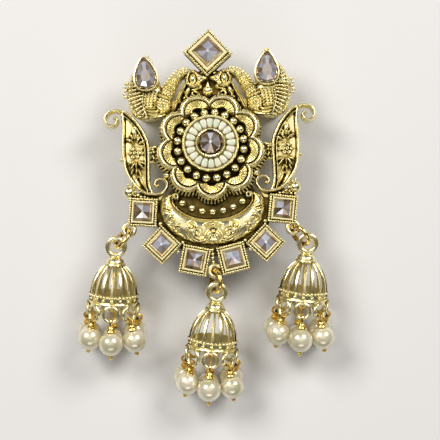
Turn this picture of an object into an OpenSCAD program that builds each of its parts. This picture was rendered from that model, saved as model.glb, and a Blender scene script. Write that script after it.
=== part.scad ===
// Cast brooch in antique gold: two facing peacocks over a stone-set flower, leaf panels at
// the sides, a crescent with six square stones below, and three pierced bells with pearls.
// It lies on its back, as laid on a table: +Z is up and +Y is the brooch's own top.

/* [Place] */
// Flower centre, to the right of the origin
flower_x = 2.37; // [0:0.01:5]
// Flower centre, above the origin towards the brooch's top
flower_y = 14.36; // [10:0.01:20]
// Height of the flat back over the table
back_z = 7.5; // [7:0.1:8]

/* [Flower] */
// Number of petals
petals = 9; // [7:1:11]
// Distance of the petals from the centre
petal_r = 7.9; // [7.5:0.1:8.2]
// Number of gold balls round the collet
ring_balls = 20; // [16:1:20]
// Radius of the circle of gold balls
ring_ball_circle = 6.7; // [6.6:0.1:6.9]
// Outer radius of the flower's collet
collet_r = 5.7; // [5.5:0.1:5.8]
// Outer radius of the centre stone's collet
stone_collet_r = 2.95; // [2.8:0.05:3.1]
// Radius of the centre stone
stone_r = 2.3; // [2:0.1:2.3]
// Number of seed beads
seed_count = 20; // [16:1:20]
// Radius of a seed bead
seed_r = 0.56; // [0.4:0.01:0.56]

/* [Settings] */
// Side of a square setting
square_side = 5.7; // [5.4:0.1:5.8]
// Side of a square stone
square_stone = 3.5; // [3:0.1:3.5]
// Side of the top rhombus setting
rhombus_side = 6.9; // [6.5:0.1:7.1]
// Side of the top stone
rhombus_stone = 4.3; // [4:0.1:4.4]

/* [Bells] */
// Length of a bell from the loop's centre to the mouth
bell_len = 11.2; // [10.8:0.1:11.4]
// Radius of the mouth's rim
mouth_r = 5.05; // [4.9:0.05:5.1]
// Number of ribs in the cage, an even number
ribs = 16; // [12:2:18]
// Width of a rib
rib_w = 0.6; // [0.5:0.05:0.7]
// Slope of a lying bell, mouth down, in degrees
bell_slope = 14; // [13:0.5:15]
// Height of a bell's loop over the table
loop_z = 9.45; // [9.4:0.05:9.6]

/* [Pearls] */
// Radius of a pearl
pearl_r = 2.4; // [2.2:0.05:2.4]
// Radius of the hole drilled in a pearl
pearl_hole_r = 0.45; // [0.4:0.05:0.5]
// Radius of the headpin wire
headpin_r = 0.28; // [0.2:0.02:0.3]

/* [Pin] */
// Distance between the pin's two feet
pin_span = 26; // [22:1:27]
// Radius of the pin's stem
stem_r = 0.5; // [0.4:0.05:0.6]

/* [Hidden] */
SIDES = ["left", "middle", "right"];
SQUARES = 6;
PEARLS = 6;

gold = "#c9a850";
bright_gold = "#e0aa3a";
gap = 0.1;

// Heights over the flat back
plate_t = 1.2;
plate_inset = 0.2;
skirt_t = 1.7;
petal_h = 3.9;
ring_step_h = 2.4;
seed_floor_h = 3.2;
collet_h = 4.5;
stone_floor_h = 3.6;
stone_collet_h = 4.9;
horn_floor_h = 1.6;
horn_rim_h = 2.2;
crescent_h = 3.1;
square_h = 2.3;
square_rim_h = 2.8;
rhombus_h = 3.4;
rhombus_rim_h = 4.1;
tear_h = 4.4;
pin_gap = 0.1;

// Petals: half length and half width, the height of their foot, and the hollow in their upper
// side: how much nearer the centre it lies, its height and its half sizes
petal_half = [2.45, 2.95];
petal_foot_h = 1;
hollow_in = 1.2;
hollow_h = 3.3;
hollow_half = [2.1, 2.1, 3];
// Skirt under the petals: radius between the scallops, and their reach
skirt_r = 9.1;
scallop = 1.6;
// Radius of the step under the gold balls, and the height of the balls' centres over it
ring_step_r = 7.2;
ring_ball_h = 0.55;
// Width of a collet's wall
collet_wall = 0.5;
// Radius of the circle of seed beads
seed_circle = 4.07;
// Radius of the balls round the flower and over the crescent
ring_ball_r = 0.78;
arc_ball_r = 0.72;

// Facets round the meshed balls, and round a whole exact one
ball_fn = 10;
round_fn = 24;

// Square settings: x, y from the flower's centre, turn in degrees
square_seats = [
    [-14.0, -13.3, -5],
    [-10.4, -20.0, 45],
    [-3.9, -23.3, -12.5],
    [3.8, -23.1, 12.5],
    [10.4, -20.2, 45],
    [14.1, -13.5, -7.5]
];
rhombus_y = 18.6;
// Side of the raised rim inside a setting, and the depth of the seat in it
square_rim = 4.5;
rhombus_rim = 5.3;
seat_depth = 1;

// Pear-shaped settings on the peacocks' backs: x, y of the round end, lean of the tip
tear_seats = [
    [-12.6, 13.7, 6],
    [11.8, 14.2, -3]
];
tear_r = 2.45;
tear_tip = 4.4;
tear_tip_r = 0.4;
tear_wall = 0.45;

// Left leaf panel: outer rim from the top, inner rim from the top, and the two scrolls
horn_outer = [
    [-17.9, 7.4], [-17.6, 6.0], [-17.5, 4.0], [-17.7, 1.0], [-17.7, -1.5],
    [-17.3, -4.3], [-16.5, -6.2], [-15.3, -7.9], [-13.9, -9.1], [-12.4, -9.6]
];
horn_inner = [
    [-17.9, 7.4], [-16.6, 6.8], [-15.3, 5.5], [-14.2, 4.1], [-13.3, 2.4],
    [-12.6, 0.5], [-12.5, -2.5], [-12.6, -6.0], [-12.5, -8.0], [-12.0, -9.5]
];
top_scroll = [
    [-17.6, 7.2], [-18.8, 7.6], [-20.3, 7.4], [-21.3, 6.4], [-21.2, 5.2],
    [-20.2, 4.3], [-19.1, 4.6], [-18.8, 5.6], [-19.5, 6.1]
];
foot_scroll = [
    [-12.4, -9.6], [-11.2, -9.7], [-10.0, -9.3], [-9.2, -8.5], [-9.1, -7.5],
    [-9.7, -6.9], [-10.6, -6.9], [-11.3, -7.5], [-11.0, -8.1]
];
rim_half_w = 0.3;
scroll_half_w = 0.45;

// Leaflets of the relief on a leaf panel: x, y of the root, length, width, direction
leaflets = [
    [-15.2, 1.2, 3.1, 1.0, 92],
    [-15.3, 1.0, 1.9, 0.8, 150],
    [-15.1, 1.0, 1.9, 0.8, 40],
    [-15.1, -3.0, 2.6, 0.8, -90],
    [-15.2, -3.0, 1.9, 0.7, -132],
    [-15.0, -3.0, 1.9, 0.7, -48]
];
// Small rings of the relief: x, y
relief_rings = [
    [-15.7, 0.0], [-14.7, 0.0], [-16.1, -1.0], [-15.2, -1.0], [-14.3, -1.0],
    [-15.7, -2.0], [-14.7, -2.0]
];

// Left side of the plate under a panel's foot, its strut to the flower, and the outer ball
foot_plate = [[-16.6, -9.2], [-12.5, -9.3], [-9.5, -9.3], [-10.5, -11], [-16.6, -11]];
strut = [[-12.6, 0.2], [-9.2, 0.2], [-9.2, -3.3], [-12.6, -3.3]];
outer_ball_at = [-16.75, -9.05, 1.3];
outer_ball_r = 1.17;
leaflet_h = 0.35;

// Crescent, half of it: outer edge x, y, inner edge x, y, share of the full height
crescent_rows = [
    [0, -20.2, 0, -15.0, 1],
    [4.7, -19.5, 2.6, -14.8, 1],
    [7.3, -18.2, 4.9, -14.1, 0.97],
    [9.3, -16.3, 6.6, -13.1, 0.9],
    [10.4, -13.9, 7.8, -12.0, 0.8],
    [10.4, -11.9, 8.3, -11.0, 0.65],
    [8.6, -9.7, 8.2, -10.0, 0.4]
];
// Balls over the crescent: centre and radius of their arc, their count and step
arc_balls = 7;
arc_ball_y = -3.4;
arc_ball_circle = 10.2;
arc_ball_step = 12;

// Left peacock: neck x, y, radius, from the chest to the head
neck_rows = [
    [-9.3, 9.2, 1.9], [-8.2, 11.2, 1.45], [-7.2, 12.9, 1.15], [-6.0, 14.3, 0.95],
    [-4.4, 14.9, 0.75], [-3.2, 14.4, 0.9]
];
neck_h = 1.3;
// Its low domes: x, y, half length, half width, height over the back
tail_domes = [[-13.7, 11.6, 2.8, 3.2, 3.2], [-13.6, 8.6, 2.9, 3.0, 3.2], [-12.6, 7.4, 2.4, 2.1, 2.6]];
body_domes = [[-12.4, 8.2, 2.6, 2.8, 3.2], [-9.6, 8.6, 2.1, 2.2, 3.2]];
head_domes = [[-2.9, 13.4, 1.7, 1.9, 3.0], [-0.8, 13.4, 0.6, 0.5, 2.2]];
boss_domes = [[-0.2, 11.0, 1.2, 1.2, 2.8], [-0.2, 12.3, 0.3, 0.4, 2.2]];
eye_boss_at = [-3.1, 13.4, 2.7];
eye_boss_half = [0.8, 1.3, 0.9];
// Plain bar between the neck and the flower
neck_bar = [[-4.2, 13.2], [-7.0, 7.7]];
neck_bar_w = 0.6;
neck_bar_h = 2.9;

// Plates on the back that hold head, flower, crescent and squares together
head_plate = [
    [0, 16], [-2.5, 15], [-4.6, 13.2], [-7.4, 7.6], [-6, 5],
    [6, 5], [7.4, 7.6], [4.6, 13.2], [2.5, 15]
];
lower_plate = [
    [-8.5, -8], [-9, -11], [-12, -11.5], [-11.6, -15], [-10.4, -18.6], [-7, -20.6], [-3.9, -23],
    [0, -22.4], [3.8, -23], [7, -20.8], [10.4, -18.8], [11.6, -15], [12, -11.5], [9, -11], [8.5, -8]
];

// Drops: x, y of the bell's loop, lean to the left in degrees, x, y of the hoop
drops = [
    [-19.6, -20.1, 5, -16.9, -16.7],
    [0.3, -29.8, 7, 0.1, -25.5],
    [18.8, -20.6, 7, 16.0, -17.3]
];
hoop_r = 1.15;
hoop_wire = 0.4;
hoop_h = 1.5;
jump_r = 2.15;
jump_wire = 0.47;
// Distance of a jump ring's centre from the loop's centre
jump_reach = jump_r + 0.05;
loop_r = 1.72;
loop_wire = 0.57;

// Neck of a bell: bottom under the loop's centre, height, radius
collar_rows = [[3.2, 1.2, 1.3], [3.5, 0.5, 1.8], [4.2, 0.8, 1.6]];
// Section of a bell's cage: radius, depth under the loop's centre
cage_rows = [
    [1.5, -3.6], [2.7, -4.5], [3.5, -5.5], [4.1, -6.6], [4.5, -7.8], [4.75, -9.2], [4.75, -9.8],
    [4.15, -9.8], [4.15, -9.2], [3.9, -7.9], [3.5, -6.8], [2.9, -5.8], [2.1, -4.8], [1.1, -4.1]
];
cage_top = 3;
// Section of its solid mouth: the band over the rim, and their inner radii
band_top = 9.3;
band_r = 4.9;
band_inner_r = 4.2;
rim_top = 10.4;
rim_inner_r = 4.3;

// Rings soldered under a bell's mouth
mouth_rings = 8;
mouth_ring_circle = 4.95;
mouth_ring_r = 1.5;
mouth_ring_wire = 0.37;
mouth_ring_drop = 1.65;
eye_r = 0.85;
eye_seat = 0.07;

// Lying pearls of a bell: ring, x to the right, y from the mouth, z over the table
pearl_seats = [
    [7, -4.2, -7.5, 7.2],
    [0, 0.2, -8.5, 9.4],
    [1, 4.7, -7.5, 7.2],
    [6, -4.9, -6.1, 2.45],
    [2, 4.4, -5.5, 2.45],
    [4, -0.1, -7.5, 2.45]
];
headpin_ball_r = 0.4;
// Turns of wire over a pearl: radius, distance from the pearl
wraps = [[0.6, 0.4], [0.45, 0.9]];

// Pin: its place over the flower's centre, foot length and width, bar and stem heights
pin_y = 8.2;
foot = [2.4, 2.6];
bar_t = 0.9;
stem_z = 1.45;
// Slot of the catch, open to the side: height over the table, its own height, and its side
catch_z = 1;
catch_h = 2.4;
catch_y = 0.5;

mouth_z = loop_z - bell_len * sin(bell_slope);
mouth_y = -bell_len * cos(bell_slope);

// A smooth curve through the rows of a table
function blend4(a, b, c, d, t) =
    0.5 * (2 * b + (c - a) * t + (2 * a - 5 * b + 4 * c - d) * t * t
    + (3 * b - a - 3 * c + d) * t * t * t);
function curve(rows, steps) =
    let (last = len(rows) - 1)
    concat(
        [for (i = [0:last - 1], s = [0:steps - 1])
            blend4(rows[max(i - 1, 0)], rows[i], rows[i + 1], rows[min(i + 2, last)], s / steps)],
        [rows[last]]
    );
function reversed(rows) = [for (i = [len(rows) - 1:-1:0]) rows[i]];
function unit(v) = v / norm(v);

// Outline of a flat ribbon along a path, narrower at its end by the taper
module ribbon(path, half_w, taper = 1) {
    last = len(path) - 1;
    function edge(i, sign) =
        let (
            along = unit(path[min(i + 1, last)] - path[max(i - 1, 0)]),
            w = half_w * (1 + (taper - 1) * i / last)
        )
        path[i] + sign * w * [-along[1], along[0]];
    polygon(concat([for (i = [0:last]) edge(i, 1)], [for (i = [last:-1:0]) edge(i, -1)]));
}

// One smooth form over a row of low domes with oval feet on the back plane
module domes(rows) {
    hull() for (r = rows) intersection() {
        translate([r[0], r[1], back_z]) scale([r[2], r[3], r[4]]) sphere(1, $fn = 12);
        translate([r[0] - r[2], r[1] - r[3], back_z]) cube([2 * r[2], 2 * r[3], r[4]]);
    }
}

// A flat slab standing on the back plane
module slab(h, base = 0) {
    translate([0, 0, back_z + base]) linear_extrude(h) children();
}

module both_sides() {
    children();
    mirror([1, 0, 0]) children();
}

// Outline of a pear, with its tip along +Y
module pear(grow = 0) {
    hull() {
        circle(tear_r + grow, $fn = 20);
        translate([0, tear_tip + grow * 1.2 - tear_tip_r]) circle(tear_tip_r, $fn = 8);
    }
}

module flower() {
    skirt = [for (k = [0:8 * petals - 1])
        let (
            a = -90 + 45 * k / petals,
            r = skirt_r + scallop * pow(abs(cos(petals * (a + 90) / 2)), 0.6)
        )
        r * [cos(a), sin(a)]
    ];
    slab(skirt_t) polygon(skirt);
    for (k = [0:petals - 1]) rotate(-90 + 360 * k / petals)
        difference() {
            translate([petal_r, 0, back_z + petal_foot_h])
                scale([petal_half[0], petal_half[1], petal_h - petal_foot_h]) sphere(1, $fn = 12);
            translate([petal_r - hollow_in, 0, back_z + hollow_h]) scale(hollow_half) sphere(1, $fn = 8);
            translate([0, -petal_half[1], 0]) cube([2 * petal_r, 2 * petal_half[1], back_z]);
        }
    translate([0, 0, back_z]) cylinder(ring_step_h, r = ring_step_r, $fn = round_fn);
    for (k = [0:ring_balls - 1]) rotate(360 * (k + 0.5) / ring_balls)
        translate([ring_ball_circle, 0, back_z + ring_step_h + ring_ball_h])
            sphere(ring_ball_r, $fn = ball_fn);
    translate([0, 0, back_z]) difference() {
        cylinder(collet_h, r = collet_r, $fn = 32);
        translate([0, 0, seed_floor_h]) cylinder(collet_h, r = collet_r - collet_wall, $fn = 32);
    }
    translate([0, 0, back_z]) difference() {
        cylinder(stone_collet_h, r = stone_collet_r, $fn = round_fn);
        translate([0, 0, stone_floor_h]) cylinder(collet_h, r = stone_r + gap, $fn = round_fn);
    }
}

module square_setting(side, rim_side, hole, wall_h, rim_h) {
    translate([0, 0, back_z]) difference() {
        union() {
            translate([-side / 2, -side / 2, 0]) cube([side, side, wall_h]);
            translate([-rim_side / 2, -rim_side / 2, 0]) cube([rim_side, rim_side, rim_h]);
        }
        translate([-hole / 2, -hole / 2, wall_h - seat_depth]) cube([hole, hole, rim_h]);
    }
}

module leaf_panel() {
    outline = concat(curve(horn_outer, 2), reversed(curve(horn_inner, 2)));
    slab(horn_floor_h) offset(delta = rim_half_w) polygon(outline);
    slab(horn_rim_h - 1, 1) difference() {
        offset(delta = rim_half_w * 0.9) polygon(outline);
        offset(delta = -rim_half_w) polygon(outline);
    }
    for (path = [top_scroll, foot_scroll])
        slab(horn_rim_h) ribbon(curve(path, 2), scroll_half_w, 0.8);
    for (l = leaflets) translate([l[0], l[1], 0]) rotate(l[4])
        slab(leaflet_h, horn_floor_h) polygon([
            [0, 0], [l[2] * 0.4, l[3] / 2], [l[2] * 0.8, l[3] * 0.35], [l[2], 0],
            [l[2] * 0.8, -l[3] * 0.35], [l[2] * 0.4, -l[3] / 2]
        ]);
    for (r = relief_rings) translate([r[0], r[1], back_z + horn_floor_h - 0.2])
        cylinder(0.5, r1 = 0.45, r2 = 0.3, $fn = 6);
    slab(plate_t) polygon(strut);
    slab(plate_t) polygon(foot_plate);
    translate([0, 0, back_z]) translate(outer_ball_at) sphere(outer_ball_r, $fn = 12);
}

module peacock() {
    domes(tail_domes);
    domes(body_domes);
    difference() {
        for (i = [0:len(neck_rows) - 2]) hull() {
            for (row = [neck_rows[i], neck_rows[i + 1]])
                translate([row[0], row[1], back_z + neck_h]) sphere(row[2], $fn = 10);
        }
        translate([-12, 6, 0]) cube([12, 12, back_z]);
    }
    domes(head_domes);
    translate([0, 0, back_z]) translate(eye_boss_at) scale(eye_boss_half) sphere(1, $fn = 10);
    bar = neck_bar[1] - neck_bar[0];
    translate([neck_bar[0][0], neck_bar[0][1], back_z]) rotate(atan2(bar[1], bar[0]))
        translate([0, -neck_bar_w / 2, 0]) cube([norm(bar), neck_bar_w, neck_bar_h]);
}

module plates() {
    slab(plate_t, plate_inset) polygon(head_plate);
    slab(plate_t, plate_inset) polygon(lower_plate);
    // Drop boss between the beaks
    domes(boss_domes);
}

module crescent() {
    half = curve(crescent_rows, 2);
    other_half = [for (i = [len(half) - 1:-1:1]) let (r = half[i]) [-r[0], r[1], -r[2], r[3], r[4]]];
    rows = concat(other_half, half);
    arch = 6;
    ring = arch + 2;
    last = len(rows) - 1;
    points = [for (r = rows) each concat(
        [[r[0], r[1], back_z], [r[2], r[3], back_z]],
        [for (s = [0:arch - 1])
            let (t = s / (arch - 1))
            [r[2] + (r[0] - r[2]) * t, r[3] + (r[1] - r[3]) * t,
             back_z + 1 + (crescent_h - 1) * r[4] * pow(sin(180 * t), 0.7)]]
    )];
    sides = [for (i = [0:last - 1], k = [0:ring - 1])
        let (n = (k + 1) % ring)
        [i * ring + k, (i + 1) * ring + k, (i + 1) * ring + n, i * ring + n]
    ];
    ends = [
        [for (k = [0:ring - 1]) k],
        [for (k = [ring - 1:-1:0]) last * ring + k]
    ];
    polyhedron(points, concat(sides, ends));
    for (k = [0:arc_balls - 1])
        translate([0, arc_ball_y, back_z + 1.7]) rotate(-90 + arc_ball_step * (k - (arc_balls - 1) / 2))
            translate([arc_ball_circle, 0, 0]) sphere(arc_ball_r, $fn = ball_fn);
}

module hoops() {
    for (d = drops) translate([d[3], d[4], back_z + hoop_h])
        rotate_extrude($fn = 12) translate([hoop_r, 0]) circle(hoop_wire, $fn = 5);
}

module frame() {
    color(gold) translate([flower_x, flower_y, 0]) {
        flower();
        plates();
        crescent();
        hoops();
        both_sides() {
            leaf_panel();
            peacock();
        }
        for (t = tear_seats) translate([t[0], t[1], 0]) rotate(t[2]) difference() {
            slab(tear_h) pear();
            slab(tear_h, tear_h - seat_depth) pear(-tear_wall);
        }
        translate([0, rhombus_y, 0]) rotate(45)
            square_setting(rhombus_side, rhombus_rim, rhombus_stone + 2 * gap, rhombus_h, rhombus_rim_h);
        for (s = square_seats) translate([s[0], s[1], 0]) rotate(s[2])
            square_setting(square_side, square_rim, square_stone + 2 * gap, square_h, square_rim_h);
    }
}

// A square stone cut with a table, four upper and four lower facets, standing on z = 0
module square_cut(side, h) {
    hull() {
        translate([-side / 2, -side / 2, 0]) cube([side, side, h * 0.45]);
        translate([-side * 0.36, -side * 0.36, 0]) cube([side * 0.72, side * 0.72, h * 0.7]);
        translate([-side * 0.08, -side * 0.08, 0]) cube([side * 0.16, side * 0.16, h]);
    }
}

module top_stone() {
    color("#c8b6c0") translate([flower_x, flower_y + rhombus_y, back_z + rhombus_h - seat_depth + gap])
        rotate(45)
        square_cut(rhombus_stone, 2.6);
}

module square_stone(i) {
    s = square_seats[i - 1];
    color("#c8b6c0") translate([flower_x + s[0], flower_y + s[1], back_z + square_h - seat_depth + gap])
        rotate(s[2]) square_cut(square_stone, 2.3);
}

module tear_stone(i) {
    t = tear_seats[i];
    inset = tear_wall + gap;
    color("#bdb7b0") translate([flower_x + t[0], flower_y + t[1], back_z + tear_h - seat_depth + gap])
        rotate(t[2]) hull() {
            linear_extrude(0.9) pear(-inset);
            translate([0, 0.4, 0]) linear_extrude(1.9) scale(0.45) pear(-inset);
        }
}

module centre_stone() {
    color("#a5805e") translate([flower_x, flower_y, back_z + stone_floor_h + gap]) {
        cylinder(1.2, r = stone_r - 0.05, $fn = 10);
        translate([0, 0, 1.2]) cylinder(1.1, r1 = stone_r - 0.05, r2 = 0.5, $fn = 10);
    }
}

module seed_beads() {
    color("#dfe6cc") translate([flower_x, flower_y, back_z + seed_floor_h + gap + seed_r])
        for (k = [0:seed_count - 1]) rotate(360 * k / seed_count)
            translate([seed_circle, 0, 0]) sphere(seed_r, $fn = 24);
}

// Bar, hinge post, stem and catch on the back, resting on two flat feet
module brooch_pin() {
    bar_z = back_z - pin_gap;
    color(gold) translate([flower_x, flower_y + pin_y, 0]) {
        translate([-(pin_span + foot[0]) / 2, -foot[1] / 2, bar_z - bar_t])
            cube([pin_span + foot[0], foot[1], bar_t]);
        translate([-(pin_span + foot[0]) / 2, -foot[1] / 2, 0]) cube([foot[0], foot[1], bar_z]);
        translate([(pin_span - foot[0]) / 2, -foot[1] / 2, 0]) difference() {
            cube([foot[0], foot[1], bar_z]);
            translate([-1, catch_y, catch_z]) cube([foot[0] + 2, foot[1], catch_h]);
        }
        translate([-pin_span / 2, 0, stem_z]) rotate([0, 90, 0])
            cylinder(pin_span + 1, r = stem_r, $fn = 32);
    }
}

module ring_wire(r, wire_r) {
    rotate_extrude($fn = 48) translate([r, 0]) circle(wire_r, $fn = round_fn);
}

// Places a drop's pieces at its loop, turned to its lean
module at_drop(i) {
    translate([flower_x + drops[i][0], flower_y + drops[i][1], 0]) rotate(-drops[i][2]) children();
}

// The ring stands on edge between the hoop and the bell's loop
module jump_ring(i) {
    d = drops[i];
    along = unit([d[3] - d[0], d[4] - d[1]]);
    middle = [d[0], d[1]] + along * jump_reach;
    color(bright_gold)
        translate([flower_x + middle[0], flower_y + middle[1], (loop_z + back_z + hoop_h) / 2])
        rotate(atan2(along[1], along[0])) rotate([90, 0, 0]) ring_wire(jump_r, jump_wire);
}

// One bell along -Z from its loop, before it is laid down
module bell_body() {
    rotate([90, 0, 0]) ring_wire(loop_r, loop_wire);
    for (c = collar_rows) translate([0, 0, -c[0]]) cylinder(c[1], r = c[2], $fn = 48);
    intersection() {
        rotate_extrude($fn = 64) polygon(cage_rows);
        for (k = [0:ribs / 2 - 1]) rotate(360 * k / ribs)
            translate([-mouth_r - 1, -rib_w / 2, -bell_len])
                cube([2 * mouth_r + 2, rib_w, bell_len - cage_top]);
    }
    rotate_extrude($fn = 64) polygon([
        [band_inner_r, -band_top], [band_r, -band_top], [band_r, 0.1 - rim_top], [mouth_r, -rim_top],
        [mouth_r, -bell_len], [rim_inner_r, -bell_len], [rim_inner_r, 0.1 - rim_top],
        [band_inner_r, 0.1 - rim_top]
    ]);
    for (k = [0:mouth_rings - 1]) rotate(360 * k / mouth_rings)
        translate([0, -mouth_ring_circle, -bell_len - mouth_ring_drop]) rotate([90, 0, 0])
            ring_wire(mouth_ring_r, mouth_ring_wire);
}

module bell(i) {
    color(gold) at_drop(i) translate([0, 0, loop_z]) rotate([bell_slope - 90, 0, 0]) bell_body();
}

// Where the pieces of pearl row s lie in the drop's own frame
function mouth_down() = [0, -cos(bell_slope), -sin(bell_slope)];
function mouth_up() = [0, -sin(bell_slope), cos(bell_slope)];
function ring_out(k) = let (a = 360 * k / mouth_rings) [sin(a), 0, 0] + cos(a) * mouth_up();
function ring_centre(k) =
    [0, mouth_y, mouth_z] + mouth_ring_circle * ring_out(k) + mouth_ring_drop * mouth_down();
function pearl_at(s) = [s[1], mouth_y + s[2], s[3]];
function pull(s) =
    let (
        v = pearl_at(s) - ring_centre(s[0]),
        n = ring_out(s[0])
    )
    unit(v - (v * n) * n);
function eye_at(s) = ring_centre(s[0]) + (mouth_ring_r + eye_seat) * pull(s);

// Turns +Z to the line from the eye to the pearl, with Y across the ring's wire
module along_headpin(s) {
    z = unit(pearl_at(s) - eye_at(s));
    y = unit(cross(ring_out(s[0]), pull(s)));
    x = cross(y, z);
    o = eye_at(s);
    multmatrix([
        [x[0], y[0], z[0], o[0]],
        [x[1], y[1], z[1], o[1]],
        [x[2], y[2], z[2], o[2]],
        [0, 0, 0, 1]
    ]) children();
}

module headpins(i) {
    color(bright_gold) at_drop(i) for (s = pearl_seats) along_headpin(s) {
        len = norm(pearl_at(s) - eye_at(s));
        rotate([90, 0, 0]) ring_wire(eye_r, headpin_r);
        translate([0, 0, eye_r])
            cylinder(len + pearl_r + headpin_ball_r - eye_r, r = headpin_r, $fn = round_fn);
        for (w = wraps) translate([0, 0, len - pearl_r - w[1]]) ring_wire(w[0], headpin_r);
        translate([0, 0, len + pearl_r + headpin_ball_r + gap]) sphere(headpin_ball_r, $fn = round_fn);
    }
}

module pearl(i, k) {
    s = pearl_seats[k - 1];
    color("#efe6c8") at_drop(i) along_headpin(s)
        translate([0, 0, norm(pearl_at(s) - eye_at(s))]) difference() {
            sphere(pearl_r, $fn = 48);
            translate([0, 0, -pearl_r - 1]) cylinder(2 * pearl_r + 2, r = pearl_hole_r, $fn = round_fn);
        }
}

frame();
top_stone();
tear_stone(0);  // tear_stone_left
tear_stone(1);  // tear_stone_right
centre_stone();
seed_beads();
for (i = [1:SQUARES])
    square_stone(i);
brooch_pin();
for (i = [0:2])
    jump_ring(i);
for (i = [0:2])
    bell(i);
for (i = [0:2])
    headpins(i);
for (i = [0:2], k = [1:PEARLS])
    pearl(i, k);
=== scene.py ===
import math

import bpy
import numpy as np
from mathutils import Matrix, Vector


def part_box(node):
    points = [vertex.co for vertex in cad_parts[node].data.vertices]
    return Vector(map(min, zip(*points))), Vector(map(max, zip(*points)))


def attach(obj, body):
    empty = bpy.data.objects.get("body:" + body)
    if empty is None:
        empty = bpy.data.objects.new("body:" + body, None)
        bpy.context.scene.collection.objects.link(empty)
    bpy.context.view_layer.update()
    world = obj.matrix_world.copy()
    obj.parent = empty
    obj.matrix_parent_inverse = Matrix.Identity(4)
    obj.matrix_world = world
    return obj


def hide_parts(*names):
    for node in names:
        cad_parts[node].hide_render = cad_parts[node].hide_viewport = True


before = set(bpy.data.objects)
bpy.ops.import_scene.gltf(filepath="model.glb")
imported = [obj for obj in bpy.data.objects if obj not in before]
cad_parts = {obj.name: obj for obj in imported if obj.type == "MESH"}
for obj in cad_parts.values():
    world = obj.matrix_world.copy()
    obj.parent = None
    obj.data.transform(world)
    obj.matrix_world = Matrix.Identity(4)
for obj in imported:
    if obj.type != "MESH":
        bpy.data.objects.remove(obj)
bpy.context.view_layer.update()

# Camera
# The brooch is seen from nearly straight above, a little from its lower end, and it lies turned
# slightly to the left.
MM = 0.001
bead_low, bead_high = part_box("seed_beads")
flower_at = (bead_low + bead_high) / 2 / MM
aim_aside = 1.4
aim_below = 15.4
aim_height = 10.0
aim = Vector((flower_at.x + aim_aside, flower_at.y - aim_below, aim_height)) * MM
camera_distance = 0.3
camera_tilt = math.radians(84)
object_turn = math.radians(1.84)
view_width = 0.088
sensor_width = 36
away = Vector((0, -math.cos(camera_tilt), math.sin(camera_tilt)))
across = Vector((math.sin(object_turn), math.cos(object_turn), 0)).cross(away).normalized()
camera_data = bpy.data.cameras.new("camera")
camera_data.sensor_width = sensor_width
camera_data.lens = sensor_width * camera_distance / view_width
camera_data.clip_start = 0.01
camera = bpy.data.objects.new("camera", camera_data)
camera.matrix_world = Matrix.Translation(aim + camera_distance * away) @ Matrix(
    (across, away.cross(across), away)).transposed().to_4x4()
bpy.context.scene.collection.objects.link(camera)
bpy.context.scene.camera = camera

# Table and light
# A plain pale table. Two soft lights beyond the brooch's top leave a darker gap between them that
# shows in every ball and pearl. A wide light overhead and a low one in front fill in.
floor_half = 0.6
light_colour = (1.0, 0.98, 0.95)
sky_colour = (0.95, 0.97, 1.0)
sky_strength = 0.085
lit_point = Vector((0, 0, 0.01))


def plain_material(name, colour, roughness):
    material = bpy.data.materials.new(name)
    material.use_nodes = True
    shader = material.node_tree.nodes["Principled BSDF"]
    shader.inputs["Base Color"].default_value = (*colour, 1)
    shader.inputs["Roughness"].default_value = roughness
    return material


def add_object(name, mesh, material):
    piece = bpy.data.objects.new(name, mesh)
    bpy.context.scene.collection.objects.link(piece)
    mesh.materials.clear()
    mesh.materials.append(material)
    return piece


corners = [(-floor_half, -floor_half, 0), (floor_half, -floor_half, 0), (floor_half, floor_half, 0),
           (-floor_half, floor_half, 0)]
table_mesh = bpy.data.meshes.new("table")
table_mesh.from_pydata(corners, [], [(0, 1, 2, 3)])
add_object("table", table_mesh, plain_material("pale_table", (0.78, 0.77, 0.76), 0.8))


def soft_light(name, place, size, watts):
    """A wide soft light that faces the brooch."""
    data = bpy.data.lights.new(name, "AREA")
    data.shape = "RECTANGLE"
    data.size, data.size_y = size
    data.energy = watts
    data.color = light_colour
    light = bpy.data.objects.new(name, data)
    light.location = place
    light.rotation_euler = (lit_point - Vector(place)).to_track_quat("-Z", "Y").to_euler()
    bpy.context.scene.collection.objects.link(light)


soft_light("left_light", (-0.36, 0.28, 0.52), (0.30, 0.30), 3.0)
soft_light("right_light", (0.38, 0.32, 0.50), (0.28, 0.28), 2.5)
soft_light("overhead_light", (0.0, 0.10, 0.90), (0.80, 0.60), 1.3)
soft_light("front_light", (0.02, -0.60, 0.42), (0.50, 0.20), 0.7)
world = bpy.data.worlds.new("studio")
world.use_nodes = True
sky = world.node_tree.nodes["Background"]
sky.inputs["Color"].default_value = (*sky_colour, 1)
sky.inputs["Strength"].default_value = sky_strength
bpy.context.scene.world = world
bpy.context.scene.view_settings.view_transform = "Standard"

# Flower
# Cast in antique gold: nine shell petals, each with a smooth rim shaped like a half moon round a
# fluted hollow, stand on a ribbed skirt, round a sunk step for the gold balls. The gold is polished
# on the high places and oxidised in the low ones, which are also darkened with painted shade.
back_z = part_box("frame")[0].z / MM
antique_high = (0.97, 0.88, 0.52)
antique_mid = (0.82, 0.69, 0.29)
low_oxide_and_shade = (0.25, 0.175, 0.045)
dark_oxide_and_shade = (0.024, 0.016, 0.004)


def add_node(tree, kind, inputs, **settings):
    """The outputs of a new node, with its settings made and its inputs linked or set to values."""
    node = tree.nodes.new(kind)
    for name, value in settings.items():
        setattr(node, name, value)
    for socket, value in inputs.items():
        if isinstance(value, bpy.types.NodeSocket):
            tree.links.new(value, node.inputs[socket])
        else:
            node.inputs[socket].default_value = value
    return node.outputs


def number(tree, operation, *values, clamp=False):
    """The output of a math node whose values are numbers or other outputs."""
    return add_node(tree, "ShaderNodeMath", dict(enumerate(values)), operation=operation, use_clamp=clamp)[0]


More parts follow.
